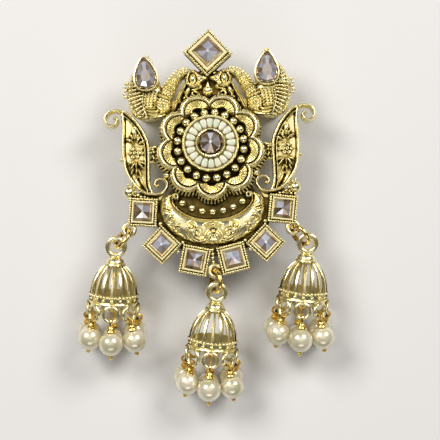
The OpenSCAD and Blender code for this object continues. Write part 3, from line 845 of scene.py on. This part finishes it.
# A drop under the head and two thin struts down to the flower, with small knobs beside them.
peacock.dome((-4.3, 11.1), (0.5, 1.3), math.radians(-24), 1.2, 2.7)
peacock.wire([(-4.5, 12.8), (-7.2, 7.2)], 0.17, 2.0, 3.0)
peacock.wire([(-4.95, 12.6), (-7.5, 7.5)], 0.15, 1.8, 2.7)
peacock.dome((-6.2, 7.2), (0.35, 0.7), math.radians(-20), 1.2, 2.4)
peacock.dome((-5.0, 9.7), (0.35, 0.35), 0, 1.2, 2.2)
peacock.dome((-6.0, 9.0), (0.3, 0.5), 0.3, 1.2, 2.0)
peacock.cast("peacock_left", back_z + 0.03)
peacock.cast("peacock_right", back_z + 0.03, mirrored=True)


def both_sides(path):
    """A path and its mirror image."""
    return [path, path * (-1, 1, 1)]


def left_of(steps):
    """Directions of length 1 to the left of the given steps."""
    return np.column_stack([-steps[:, 1], steps[:, 0]]) / np.hypot(steps[:, 0], steps[:, 1])[:, None]


def beside(path, shift):
    """A flat path moved to its left by the shift."""
    return path + left_of(np.gradient(path, axis=0)) * np.broadcast_to(shift, len(path))[:, None]


thorns = beside(neck[3:], np.linspace(1.6, 0.8, len(neck) - 3))
grains("neck_thorns", both_sides(at_height(thorns, 2.2)), 0.34, 0.72)
tail_seats = np.array([(fan_at[0] + reach * math.cos(turn), fan_at[1] + reach * math.sin(turn))
                       for turn in fan_step * np.arange(-47, -23) for reach in np.arange(7.9, 13.0, 0.58)])
on_tail = tail_seats[:, 0] < tail_seam(tail_seats[:, 1]) - 0.25
tail_seats = tail_seats[on_tail & (inside_reach(*tail_seats.T, body_outline) > 0.15)]
grains("tail_grains", both_sides(peacock.seats(tail_seats, 0.02)), 0.27, flatness=0.8, unevenness=0.15)
edge_grains = [(-16.75, 13.0), (-17.0, 12.3), (-16.8, 11.6), (-17.15, 10.9), (-16.9, 10.2)]
grains("tail_edge_grains", both_sides(at_height(edge_grains, 1.9)), 0.42, unevenness=0.2)

# Pear-shaped settings
# A plain high wall with a thin bright lip holds each pear-cut stone over a peacock's back, with a
# few grains at its tip.
# Each pear: its place, its lean in degrees and its stone.
pear_seats = ((-12.6, 13.7, 6, "tear_stone_left"), (11.8, 14.2, -3, "tear_stone_right"))
pear_side = [(0.6, 4.08), (1.15, 3.45), (1.7, 2.55), (2.2, 1.5), (2.5, 0.4), (2.52, -0.6), (2.15, -1.7),
             (1.3, -2.5)]
pear_outline = smooth_path([(0, 4.3)] + [(-px, py) for px, py in pear_side] + [(0, -2.74)]
                           + pear_side[::-1], 2, closed=True)


def pear_ring(grow, height, shrink=1.0, skip=1):
    """Points round a pear with its tip up, set outwards by the given growth and then shrunk."""
    left = left_of(np.roll(pear_outline, -1, 0) - np.roll(pear_outline, 1, 0))
    return at_height(((pear_outline - left * grow) * shrink)[::skip], height)


def loft(rings):
    """Points and faces of a closed ring of metal between rings of as many points each."""
    return np.vstack(rings), ring_faces(len(rings), len(rings[0]), closed=True)


pear_rows = ((0.0, 0.0), (0.0, 3.9), (-0.03, 4.2), (-0.1, 4.37), (-0.24, 4.4), (-0.34, 4.3), (-0.38, 4.0),
             (-0.38, 3.4), (-0.38, 0.0))
pear_stone_in = 0.4
pear_stone_rows = ((3.5, 1), (4.2, 1), (4.6, 0.84), (5.25, 0.45))
pear_reflections = (0.6, 0.35, 0.85, 0.45, 0.7, 0.25, 0.55, 0.95, 0.4, 0.75, 0.45)
for px, py, lean, node in pear_seats:
    side = node.split("_")[-1]
    points, faces = loft([pear_ring(grow, height) for grow, height in pear_rows])
    cast_piece("pear_setting_" + side, turned(points, lean, (px, py)), faces)
    rings = [pear_ring(-pear_stone_in, height, shrink, 3) for height, shrink in pear_stone_rows]
    cut_stone("pear_stone_" + side, rings, (px, py), lean, node, pear_reflections)
tip_grains = np.array([(-12.35, 17.75, 3.7), (-11.9, 17.4, 3.5), (-12.2, 18.15, 3.5), (-11.5, 16.8, 3.4),
                       (11.35, 18.3, 3.7), (11.0, 17.8, 3.5), (12.1, 18.75, 3.6), (11.7, 18.75, 3.5)])
grains("tip_grains", [tip_grains + (0, 0, back_z)], 0.36)

# Ground between heads and flower
# The plates under the heads, the flower, the crescent and the squares, cast with the front. Between
# the beaks they carry a drop-shaped boss, with a few small curls round it.
plate_foot = 1.0
plate_top = 1.2
head_plate = [(0, 16), (-2.5, 15), (-4.6, 13.2), (-7.4, 7.6), (-6, 5), (6, 5), (7.4, 7.6), (4.6, 13.2),
              (2.5, 15)]
lower_plate = [(-7.2, -7.2), (-9, -10.2), (-12, -11.5), (-11.6, -15), (-10.4, -18.6), (-7, -20.6),
               (-3.9, -23), (0, -22.4), (3.8, -23), (7, -20.8), (10.4, -18.8), (11.6, -15), (12, -11.5),
               (9, -10.2), (7.2, -7.2)]
# Each curl: its path, its half widths at both ends and its top; each knob: place, radii, turn, top.
curls = ((smooth_path([(1.6, 9.7), (2.2, 10.6), (2.9, 11.0), (3.4, 10.5), (3.0, 10.0)]), 0.26, 0.26, 2.2),
         (np.array([(2.2, 11.6), (3.6, 11.2)]), 0.28, 0.15, 2.3),
         (smooth_path([(3.9, 9.2), (4.6, 10.0), (4.9, 11.0)]), 0.25, 0.25, 2.2))
knobs_aside = ((1.7, 11.9, 0.4, 0.6, 0.5, 2.4), (1.0, 9.6, 0.4, 0.3, 0, 2.1), (1.2, 14.6, 0.5, 0.4, 0, 2.5))
ground = Relief((-12.4, -23.4), (12.6, 16.4), 0.14)
for plate in (head_plate, lower_plate):
    ground.pillow(plate, plate_foot, plate_top, 0.3)
ground.dome((-0.2, 11.0), (1.15, 1.15), 0, 1.3, 3.0)
ground.wire([(-0.2, 11.4), (-0.2, 12.9)], 0.8, 1.3, 2.7, 0.15)
for way in (-1, 1):
    for path, half_width, end_width, top in curls:
        ground.wire(path * (way, 1), half_width, plate_top, top, end_width)
    for px, py, half_width, half_length, turn, top in knobs_aside:
        ground.dome((way * px, py), (half_width, half_length), way * turn, plate_top, top)
ground.cast("ground", back_z + 0.2)
# Painted shade over the low ground between the pieces.
painted_shade_below["ground"] = 1.45

# Leaf panels
# Two tall horn-shaped panels, mirror images, cast with the front. Bright round rims curl into a
# scroll at the head and at the foot, round a low relief of two palmettes with small rings between
# them. Grains and a large ball are soldered beside each.
horn_outer = smooth_path([
    (-17.9, 7.4), (-17.6, 6.0), (-17.5, 4.0), (-17.65, 1.0), (-17.65, -1.5), (-17.25, -4.3), (-16.5, -6.2),
    (-15.3, -7.9), (-13.9, -9.1), (-12.4, -9.6)], 5)
horn_inner = smooth_path([
    (-17.9, 7.4), (-16.6, 6.8), (-15.3, 5.5), (-14.2, 4.1), (-13.3, 2.4), (-12.65, 0.5), (-12.55, -2.5),
    (-12.65, -6.0), (-12.55, -8.0), (-12.0, -9.5)], 5)
top_scroll = smooth_path([
    (-17.6, 7.2), (-18.8, 7.6), (-20.2, 7.35), (-21.1, 6.4), (-21.1, 5.3), (-20.2, 4.5), (-19.15, 4.75),
    (-18.75, 5.6), (-19.2, 6.1)])
foot_scroll = smooth_path([
    (-12.6, -9.5), (-11.2, -9.7), (-9.9, -9.3), (-9.1, -8.4), (-9.0, -7.5), (-9.5, -6.8), (-10.3, -6.6),
    (-11.1, -6.9), (-11.5, -7.6), (-11.2, -8.1), (-10.85, -7.9)])
# Each leaf: the place of its foot, its length, its width and its direction in degrees.
horn_leaves = ((-15.25, 1.5, 2.8, 1.0, 92), (-15.7, 1.25, 1.5, 0.65, 165), (-15.4, 0.45, 1.2, 0.42, 125),
               (-15.6, 1.5, 1.5, 0.5, 118), (-14.95, 0.9, 1.5, 0.6, 58), (-14.6, 0.6, 1.6, 0.6, 28),
               (-14.9, 1.6, 1.3, 0.5, 68), (-15.1, -3.0, 1.5, 0.42, -90), (-15.3, -3.0, 1.9, 0.5, -122),
               (-14.8, -3.0, 2.1, 0.5, -52), (-15.5, -2.9, 1.5, 0.55, -152), (-14.6, -2.9, 1.4, 0.5, -25),
               (-15.0, -4.2, 2.0, 0.45, -96), (-14.7, -4.3, 1.9, 0.45, -72), (-15.6, -4.2, 1.6, 0.42, -112))
horn_rings = ((-15.8, -0.35), (-14.95, -0.35), (-14.2, -0.5), (-16.3, -1.2), (-15.4, -1.15), (-14.6, -1.15),
              (-13.9, -1.25), (-15.75, -1.95), (-14.85, -1.95))
panel_edge, panel_top, panel_soft = 0.95, 1.4, 1.2
leaf_foot, leaf_top = 1.3, 2.3
rim_low, rim_top = 1.2, 2.2
scroll_low, scroll_top = 0.9, 2.3
bridge_low, bridge_top = 0.9, 1.1
leaf_ring = 0.44
outer_ball = 1.17
horn = Relief((-22.4, -11.3), (-8.0, 8.5), 0.085)
horn.pillow(np.vstack([horn_outer, horn_inner[::-1]]), panel_edge, panel_top, panel_soft)
for px, py, length, width, degrees in horn_leaves:
    turn = math.radians(degrees)
    middle = (px + length / 2 * math.cos(turn), py + length / 2 * math.sin(turn))
    horn.dome(middle, (length / 2, width / 2), turn, leaf_foot, leaf_top)
for seat in horn_rings:
    horn.dome(seat, (leaf_ring, leaf_ring), 0, leaf_foot, 2.25)
for seat in horn_rings:
    horn.carve([seat, seat], 0.2, 0.6)
horn.carve([(-14.75, -6.5), (-14.2, -7.6), (-13.7, -8.6)], 0.35, 0.7)
horn.wire(beside(horn_inner[3:], -0.72), 0.16, leaf_foot, 1.9)
horn.wire(horn_outer, 0.36, rim_low, rim_top)
horn.wire(horn_inner, 0.34, rim_low, rim_top)
horn.wire(top_scroll, 0.48, scroll_low, scroll_top, 0.4)
horn.wire(foot_scroll, 0.38, scroll_low, scroll_top, 0.32)
horn.dome((-18.15, -2.4), (0.42, 0.3), 0, 1.0, 1.8)
horn.dome((-8.95, -5.95), (0.8, 0.8), 0, 1.0, 2.4)
for bridge in ([(-12.6, 0.2), (-8.6, 0.2), (-8.6, -3.3), (-12.6, -3.3)],
               [(-16.6, -9.2), (-12.5, -9.3), (-9.5, -9.3), (-10.5, -11.1), (-16.6, -11.1)]):
    horn.pillow(bridge, bridge_low, bridge_top, 0.3)
horn.cast("leaf_panel_left", back_z + 0.06)
horn.cast("leaf_panel_right", back_z + 0.06, mirrored=True)
strut_grains = [(px + 0.13 * math.sin(7 * px + 5 * py), py + 0.13 * math.cos(9 * px - 4 * py))
                for px in np.arange(-12.2, -9.4, 0.6) for py in np.arange(-3.0, 0.2, 0.6)]
grains("strut_grains", both_sides(at_height(strut_grains, 1.15)), 0.34, unevenness=0.3)
foot_grains = [(-15.75, -8.45), (-15.45, -9.1), (-15.6, -9.8), (-14.9, -9.7), (-14.3, -10.1), (-16.9, -7.55),
               (-16.2, -7.9), (-13.6, -10.2), (-15.9, -10.3), (-16.7, -10.35), (-12.9, -10.4),
               (-12.2, -10.5)]
grains("foot_grains", both_sides(at_height(foot_grains, 1.25)), 0.36, unevenness=0.25)
grains("outer_balls", both_sides(at_height([(-16.75, -9.05)], 1.3)), outer_ball, sides=28)

# Crescent
# A hollow-cast crescent, smooth and round in section, engraved with volutes and a middle cartouche,
# with a fine raised line along its inner edge and seven gold balls above it.
crescent_outer = smooth_path([(8.4, -9.6), (9.9, -10.6), (10.5, -12.2), (10.4, -14.0), (9.3, -16.3),
                              (7.3, -18.2), (4.7, -19.5), (2.4, -20.05), (0, -20.25)])
crescent_inner = smooth_path([(8.0, -9.9), (8.15, -11.0), (7.7, -12.0), (6.6, -13.1), (4.9, -14.1),
                              (2.6, -14.8), (0, -15.0)])
crescent_edge, crescent_top, crescent_soft = 1.1, 3.1, 2.3
crescent = Relief((-11.0, -20.8), (11.0, -8.8), 0.08)
mirror_x = np.array([-1, 1])
crescent_outline = np.vstack([crescent_outer, (crescent_outer * mirror_x)[::-1][1:],
                              crescent_inner * mirror_x, crescent_inner[::-1][1:]])
crescent.pillow(crescent_outline, crescent_edge, crescent_top, crescent_soft)


def scroll(centre, radius, start, turns, end_share=0.25, points=26):
    """A spiral from its outer end inwards; a negative number of turns runs the other way."""
    t = np.linspace(0, 1, points)
    return polar(radius * (1 - (1 - end_share) * t), np.radians(start + 360 * turns * t), centre)


engraved = [
    scroll((-8.3, -15.2), 0.85, 60, 1.2), scroll((-7.25, -16.95), 0.8, 40, 1.25),
    scroll((-4.4, -16.4), 0.75, -40, 1.1), scroll((-3.1, -17.8), 0.85, 150, -1.1),
    np.array([(-8.6, -12.85), (-10.2, -12.2)]), np.array([(-8.4, -13.5), (-10.1, -12.9)]),
    smooth_path([(-5.1, -16.9), (-4.9, -18.0), (-4.0, -19.1), (-2.8, -19.6), (-1.6, -19.3)]),
    smooth_path([(-3.9, -18.2), (-3.2, -18.95), (-2.2, -18.8), (-1.5, -18.0), (-0.9, -17.2), (0, -16.8)]),
    smooth_path([(-1.8, -16.6), (-1.0, -16.2), (0, -16.0)]),
    smooth_path([(-1.3, -19.2), (-0.6, -18.5), (0, -18.3)])]
line_half, line_rise = 0.14, 0.14
side_line_at, side_line_half, side_line_depth = 0.27, 0.1, 0.2
for path in engraved:
    for line in (path, path * mirror_x):
        crescent.carve(line, line_half, -line_rise)
        for shift in (-side_line_at, side_line_at):
            crescent.carve(beside(line, shift), side_line_half, side_line_depth)
crescent.carve(scroll((0, -17.5), 0.5, 0, 1, 1), 0.16, 0.35)
for way in (1, -1):
    crescent.wire(crescent_inner * (way, 1) + (-0.12 * way, -0.32), 0.17, 1.2, 2.75)
    crescent.wire(scroll((way * 7.35, -10.35), 0.62, 90 - way * 100, way * 1.1, 0.5), 0.3, 1.2, 2.5)
crescent.cast("crescent", back_z + 0.09)
ball_arc = polar(10.2, np.radians(-90 + 12 * np.arange(-3, 4)), (0, -3.4))
crescent_ball = 0.72
grains("crescent_balls", [at_height(ball_arc, 1.7)], crescent_ball, sides=20)

# Square settings
# Six box settings soldered under the crescent and a larger one, set on its corner, over the heads:
# a beaded border, a groove darkened with painted shade and a smooth bright rim hold each stone.
# Each seat is a place and a turn in degrees, and each stone's painted facet reflections go round its facets.
square_seats = ((-14.0, -13.3, -5), (-10.4, -20.0, 45), (-3.9, -23.3, -12.5),
                (3.8, -23.1, 12.5), (10.4, -20.2, 45), (14.1, -13.5, -7.5))
square_reflections = ((0.55, 1.0, 0.25, 0.1, 0.95, 0.5, 0.2, 0.75), (0.95, 0.8, 1.0, 0.6, 0.45, 0.7, 1.0, 0.65),
                (1.0, 0.6, 0.2, 0.75, 0.1, 0.3, 0.7, 0.15), (0.75, 1.0, 1.0, 0.5, 0.3, 0.6, 0.8, 0.9),
                (1.0, 0.6, 0.85, 0.35, 0.95, 0.7, 0.5, 1.0), (0.2, 0.8, 1.0, 0.1, 0.7, 0.25, 0.45, 0.6))
top_reflections = (0.75, 0.3, 0.95, 0.6, 0.9, 1.0, 0.45, 0.85)
# A box is given by its side, its hole, and the heights of its wall and of its rim.
square_box = (5.7, 3.7, 2.3, 2.8)
top_box = (6.9, 4.5, 3.4, 4.1)
border_grain = 0.25
border_spacing = 0.48


def square_ring(half, height, per_side=1):
    """Points round a square, evenly along each side from its first corner."""
    corners = half * np.array([(1, 1), (-1, 1), (-1, -1), (1, -1), (1, 1)])
    flat = np.array([corners[k] + (corners[k + 1] - corners[k]) * t
                     for k in range(4) for t in np.arange(per_side) / per_side])
    return at_height(flat, height)


def box_setting(name, place, degrees, box, stone_node, facet_reflections):
    """A box with its beads and its stone: wall, groove with painted shade and bright rim, from outside to
    inside.
    """
    side, hole, wall, rim = box
    half = side / 2
    hold = hole / 2
    rows = ((half - 0.1, 0), (half - 0.1, wall - 0.5), (half - 0.16, wall - 0.16), (half - 0.36, wall - 0.14),
            (half - 0.45, wall - 0.6), (half - 0.58, wall - 0.6), (half - 0.6, rim - 0.12), (half - 0.7, rim),
            (hold + 0.06, rim - 0.01), (hold - 0.08, rim - 0.14), (hold - 0.18, rim - 0.4),
            (hold - 0.02, rim - 0.5), (hold, 0))
    points, faces = loft([square_ring(reach, height, 14) for reach, height in rows])
    cast_piece(name, turned(points, degrees, place), faces)
    painted_shade_below[name] = wall - 0.35
    paths = [square_ring(half - 0.22, wall - 0.02), square_ring(half - 0.2, wall - 0.75)]
    grains(name + "_border", [turned(path, degrees, place) for path in paths], border_grain, border_spacing,
           closed=True)
    stone_low, stone_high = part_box(stone_node)
    foot = stone_low.z / MM - back_z
    tall = (stone_high.z - stone_low.z) / MM
    girdle = hold - 0.1
    rings = [square_ring(reach * girdle, foot + rise * tall, 2)
             for reach, rise in ((1, 0), (1, 0.42), (0.72, 0.7), (0.12, 1))]
    cut_stone(name + "_stone", rings, place, degrees, stone_node, facet_reflections)


for k, (px, py, degrees) in enumerate(square_seats):
    box_setting(f"square_setting_{k + 1}", (px, py), degrees, square_box, f"square_stone_{k + 1}",
                square_reflections[k])
box_setting("top_setting", (0, 18.6), 41.6, top_box, "top_stone", top_reflections)
grains("top_corners", [at_height([(-4.65, 18.88), (4.65, 18.32)], 3.3)], 0.38)
solder_grains = [(-0.35, -21.3), (-0.25, -22.1), (-0.3, -22.9), (-0.2, -23.7), (-0.3, -24.5), (-6.2, -19.6),
                 (6.3, -19.5), (10.45, -15.8), (-10.6, -15.7), (-7.2, -21.4), (7.3, -21.4)]
grains("solder_grains", [at_height(solder_grains, 1.5)], 0.42, unevenness=0.15)

# Hoops and jump rings
# Three small hoops of round wire on the frame's edge, and the open rings of bright wire that hang
# each bell's loop from them.
# Each drop: its side, the place of the bell's loop, the bell's lean in degrees, the hoop's place.
drops = (("left", (-19.6, -20.1), 5, (-16.9, -16.7)), ("middle", (0.3, -29.8), 7, (0.1, -25.5)),
         ("right", (18.8, -20.6), 7, (16.0, -17.3)))
hoop_height = 1.5
hoop_radius = 1.15
hoop_wire = 0.4
loop_z = 9.45
jump_radius = 2.15
jump_wire = 0.46
ring_lean = math.radians(24)


def tube(path, radius, sides, closed=False):
    """Points and faces of round wire along a path."""
    path = np.asarray(path, float)
    count = len(path)
    if closed:
        ways = np.roll(path, -1, 0) - np.roll(path, 1, 0)
    else:
        ways = np.gradient(path, axis=0)
    ways = ways / np.linalg.norm(ways, axis=1)[:, None]
    side = np.cross(ways[0], (0.31, 0.42, 0.85))
    points = []
    for place, way in zip(path, ways):
        side = side - way * np.dot(side, way)
        side = side / np.linalg.norm(side)
        up = np.cross(way, side)
        points += [place + radius * (math.cos(t) * side + math.sin(t) * up)
                   for t in 2 * math.pi * np.arange(sides) / sides]
    faces = ring_faces(count, sides, closed)
    if not closed:
        faces += end_faces(count, sides)
    return np.array(points), faces


def wire_ring(centre, across, up, radius, wire, around=48, sides=12):
    """A ring of round wire in the plane of two directions."""
    centre, across, up = (np.asarray(v, float) for v in (centre, across, up))
    path = [centre + radius * (math.cos(t) * across + math.sin(t) * up)
            for t in 2 * math.pi * np.arange(around) / around]
    return tube(path, wire, sides, closed=True)


wire_gold = gold_material("bright_gold_wire", (0.96, 0.74, 0.25), (0.90, 0.61, 0.15), (0.60, 0.35, 0.05),
                          (0.22, 0.11, 0.012), polish=0.18, relief=0.1)
for side, loop_at, lean, hoop_at in drops:
    points, faces = wire_ring((*hoop_at, back_z + hoop_height), (1, 0, 0), (0, 1, 0), hoop_radius, hoop_wire)
    cast_piece("hoop_" + side, points, faces)
    way = np.array(hoop_at) - np.array(loop_at)
    way = way / np.hypot(*way)
    middle = (*(np.array(loop_at) + way * (jump_radius + 0.05)), (loop_z + back_z + hoop_height) / 2)
    up = (way[1] * math.sin(ring_lean), -way[0] * math.sin(ring_lean), math.cos(ring_lean))
    points, faces = wire_ring(middle, (*way, 0), up, jump_radius, jump_wire)
    cast_piece("open_ring_" + side, points, faces, wire_gold, ("jump_ring_" + side,))

# Bells
# Three pierced bells of cast ribs under a collar, with a beaded line, a dark band of granules and
# a smooth round rim, and eight wire rings soldered under it. Each lies on its side.
bell_slope = math.radians(14)
bell_loop = 1.72
bell_loop_wire = 0.55
rib_count = 16
rib_half_width = 0.29
rib_half_depth = 0.26
mouth_depth = 11.2
ring_count = 8
ring_circle = 4.95
ring_drop = 1.65
ring_radius = 1.5
ring_wire = 0.36
rib_mid = smooth_path([(1.6, -3.7), (2.45, -4.35), (3.1, -5.1), (3.65, -6.0), (4.05, -6.95), (4.32, -8.0),
                       (4.46, -9.2), (4.46, -9.6)], 3)
collar = [(0.3, -4.1), (1.3, -4.1), (1.6, -3.72), (2.0, -3.62), (2.14, -3.45), (2.08, -3.27), (1.82, -3.16),
          (1.7, -3.08), (1.78, -2.9), (1.68, -2.62), (1.4, -2.32), (1.05, -2.1), (0.7, -1.99), (0.3, -1.96)]
mouth = [(4.3, -11.15), (4.72, -11.22), (4.95, -11.12), (5.02, -10.96), (4.95, -10.8), (4.7, -10.72),
         (4.52, -10.68), (4.5, -9.86), (4.66, -9.78), (4.74, -9.6), (4.7, -9.42), (4.5, -9.32), (4.25, -9.32)]


def rib(path, half_width, half_depth):
    """A flat rounded rib along a path of radius and height, in the plane y = 0."""
    section = [(-0.6, 1), (-1, 0.55), (-1, -0.6), (-0.7, -1), (0.7, -1), (1, -0.6), (1, 0.55), (0.6, 1)]
    out = left_of(np.gradient(path, axis=0))
    points = [(r + s * half_depth * ox, w * half_width * min(1, 0.42 + 0.14 * r), z + s * half_depth * oz)
              for (r, z), (ox, oz) in zip(path, out) for w, s in section]
    return np.array(points), ring_faces(len(path), len(section)) + end_faces(len(path), len(section))


def laid(points):
    """A bell that hangs from its loop, laid down with its mouth a little lower."""
    x, y, z = np.asarray(points, float).T
    turn = bell_slope - math.pi / 2
    return np.column_stack([x, y * math.cos(turn) - z * math.sin(turn),
                            loop_z + y * math.sin(turn) + z * math.cos(turn)])


hanging_ring = wire_ring((ring_circle, 0, -mouth_depth - ring_drop), (0, 1, 0), (0, 0, 1), ring_radius,
                         ring_wire, 28, 10)
bell_points, bell_faces = joined([
    wire_ring((0, 0, 0), (1, 0, 0), (0, 0, 1), bell_loop, bell_loop_wire, 48, 14), lathe(collar, 40),
    lathe(mouth, 96), repeated(*rib(rib_mid, rib_half_width, rib_half_depth), rib_count),
    repeated(*hanging_ring, ring_count, math.pi / 2)])
fine_points, fine_faces = ball_net(8, 6)
bead_rows = (((0.26, 0.34, 0.26), (4.76, 0, -9.58), 36), ((0.3, 0.36, 0.3), (4.64, 0, -10.27), 16))
row_points, row_faces = joined([repeated(fine_points * radii + place, fine_faces, count)
                                for radii, place, count in bead_rows])
for side, loop_at, lean, hoop_at in drops:
    for name, points, faces in (("pierced_bell_", bell_points, bell_faces),
                                ("bell_beads_", row_points, row_faces)):
        cast_piece(name + side, turned(laid(points), -lean, loop_at), faces, nodes=("bell_" + side,))

# Pearls and headpins
# Six drilled pearls on each bell, each on its own headpin of bright gold wire: an eye through the
# mouth's ring, a coil wound down on the pearl, and a small ball at the end.
pearl_radius = 2.4
# Each pearl: its ring's number, its place from the mouth's middle, and its height over the table.
pearl_seats = ((7, -4.2, -7.5, 7.2), (0, 0.2, -8.5, 9.4), (1, 4.7, -7.5, 7.2), (6, -4.9, -6.1, 2.45),
               (2, 4.4, -5.5, 2.45), (4, -0.1, -7.5, 2.45))
pin_wire = 0.27
eye_radius = 0.85
coil_wire = 0.24
coil_turns = 3
coil_wide = 0.88
coil_narrow = 0.38
coil_length = 0.95
end_ball = 0.45
mouth_at = np.array((0, -mouth_depth * math.cos(bell_slope), loop_z - mouth_depth * math.sin(bell_slope)))
mouth_down = np.array((0, -math.cos(bell_slope), -math.sin(bell_slope)))
mouth_up = np.array((0, -math.sin(bell_slope), math.cos(bell_slope)))


def pearl_material():
    """Cream pearl lustre with soft clouds."""
    material = plain_material("pearl", (0.78, 0.72, 0.55), 0.24)
    tree = material.node_tree
    shader = tree.nodes["Principled BSDF"]
    shader.inputs["Metallic"].default_value = 0.35
    shader.inputs["Coat Weight"].default_value = 1.0
    shader.inputs["Coat Roughness"].default_value = 0.08
    tint = colour_ramp(tree, noise(tree, 260, 3), ((0.35, (0.68, 0.64, 0.42)), (0.65, (0.94, 0.85, 0.65))))
    tree.links.new(tint, shader.inputs["Base Color"])
    return material


def pearl_profile(rows=26, bore=0.45):
    """A drilled ball's section, from the lower end of its bore round the outside."""
    lean = math.asin(bore / pearl_radius)
    turns = np.linspace(lean, math.pi - lean, rows)
    return [(pearl_radius * math.sin(t), -pearl_radius * math.cos(t)) for t in turns]


def unit(way):
    """A direction at length 1."""
    return way / np.linalg.norm(way)


pearl_look = pearl_material()
pearl_points, pearl_faces = lathe(pearl_profile(), 44)
ball_points, ball_faces = ball_net(14, 10)
for side, loop_at, lean, hoop_at in drops:
    pins = []
    for k, (ring_number, px, py, pz) in enumerate(pearl_seats):
        turn = ring_number * 2 * math.pi / ring_count
        ring_out = math.sin(turn) * np.array((1, 0, 0)) + math.cos(turn) * mouth_up
        ring_centre = mouth_at + ring_circle * ring_out + ring_drop * mouth_down
        pearl_at = np.array((px, mouth_at[1] + py, pz))
        pull = pearl_at - ring_centre
        pull = unit(pull - ring_out * np.dot(pull, ring_out))
        eye_at = ring_centre + (ring_radius + 0.07) * pull
        along = unit(pearl_at - eye_at)
        over = unit(np.cross(ring_out, pull))
        basis = np.array((np.cross(over, along), over, along))
        reach = np.linalg.norm(pearl_at - eye_at)
        t = np.linspace(0, 1, 40)
        coil_reach = coil_wide - (coil_wide - coil_narrow) * t
        coil = np.column_stack([polar(coil_reach, 2 * math.pi * coil_turns * t),
                                reach - pearl_radius - 0.1 - coil_length * t])
        stem = [(0, 0, eye_radius), (0, 0, reach + pearl_radius + 0.4)]
        form = [wire_ring((0, 0, 0), (1, 0, 0), (0, 0, 1), eye_radius, pin_wire, 24, 8),
                tube(coil, coil_wire, 7), tube(stem, pin_wire, 10),
                (ball_points * end_ball + (0, 0, reach + pearl_radius + 0.43), ball_faces)]
        pins += [(points @ basis + eye_at, faces) for points, faces in form]
        body = turned((pearl_points + (0, 0, reach)) @ basis + eye_at, -lean, loop_at)
        new_piece(f"drop_pearl_{side}_{k + 1}", body, pearl_faces, pearl_look, f"pearl_{side}_{k + 1}")
    points, faces = joined(pins)
    cast_piece("wire_pins_" + side, turned(points, -lean, loop_at), faces, wire_gold, ("headpins_" + side,))

# Pin
# A flat bar, hinge post, round stem and open catch of plain gold under the back, soldered on and
# hidden in the photograph's view.
pin_gold = gold_material("pin_gold", antique_mid, antique_mid, low_oxide_and_shade, dark_oxide_and_shade,
                         polish=0.3, relief=0.2)
for slot in bpy.data.objects["brooch_pin"].material_slots:
    slot.material = pin_gold

# Oxidised recesses and painted shade
# The cast front was blackened and then polished, so the dark stays in the low places: each point
# of gold is set against the mean height of the gold round it. The same mask also paints shade:
# the low places, gold lying under other gold and each piece below its given height are darkened
# where shade would fall.
cell = 0.1
map_low = np.array((flower_at.x - 31, flower_at.y - 55))
map_size = (580, 810)
top_map = np.full(map_size, back_z)
near_patch, near_start, near_depth = 0.32, 0.02, 0.33
wide_patch, wide_start, wide_depth = 1.0, 0.25, 1.1
# Depth under other gold and the painted shade given there.
covered_depth, covered_shade = 0.6, 0.4
border_share = 0.55


def piece_points(piece):
    """A piece's points in mm."""
    places = np.empty(3 * len(piece.data.vertices))
    piece.data.vertices.foreach_get("co", places)
    return places.reshape(-1, 3) / MM


def map_cells(points):
    """The cells of the height map that points lie in, seen from above."""
    cells = ((points[:, :2] - map_low) / cell).astype(int)
    return np.clip(cells[:, 0], 0, map_size[0] - 1), np.clip(cells[:, 1], 0, map_size[1] - 1)


def blurred(heights, reach):
    """The height map's mean over a soft round patch of the given reach."""
    fx = np.fft.fftfreq(heights.shape[0])[:, None]
    fy = np.fft.fftfreq(heights.shape[1])[None, :]
    soft = np.exp(-2 * (math.pi * reach / cell) ** 2 * (fx ** 2 + fy ** 2))
    return np.fft.ifft2(np.fft.fft2(heights) * soft).real


for piece in gold_pieces:
    points = piece_points(piece)
    edges = np.empty(2 * len(piece.data.edges), int)
    piece.data.edges.foreach_get("vertices", edges)
    edges = edges.reshape(-1, 2)
    for t in (0, 0.25, 0.5, 0.75):
        spots = points[edges[:, 0]] * (1 - t) + points[edges[:, 1]] * t
        np.maximum.at(top_map, map_cells(spots), spots[:, 2])
near_mean = blurred(top_map, near_patch)
wide_mean = blurred(top_map, wide_patch)
for piece in gold_pieces:
    points = piece_points(piece)
    cells = map_cells(points)
    near = (near_mean[cells] - points[:, 2] - near_start) / near_depth
    wide = (wide_mean[cells] - points[:, 2] - wide_start) / wide_depth
    # Low places darkened by oxide and painted shade.
    oxide_and_shade = np.clip(np.maximum(near, wide), 0, 1)
    # Gold lying deep under other gold gets painted shade.
    oxide_and_shade = np.where(top_map[cells] - points[:, 2] > covered_depth, covered_shade, oxide_and_shade)
    if piece.name.endswith("_border"):
        oxide_and_shade = oxide_and_shade * border_share
    # Painted shade below each piece's given height.
    if piece.name in painted_shade_below:
        below = back_z + painted_shade_below[piece.name] - points[:, 2]
        oxide_and_shade = np.maximum(oxide_and_shade, np.clip(below / 0.3, 0, 0.95))
    piece.data.attributes.new("oxide_and_shade", "FLOAT", "POINT").data.foreach_set("value", oxide_and_shade)
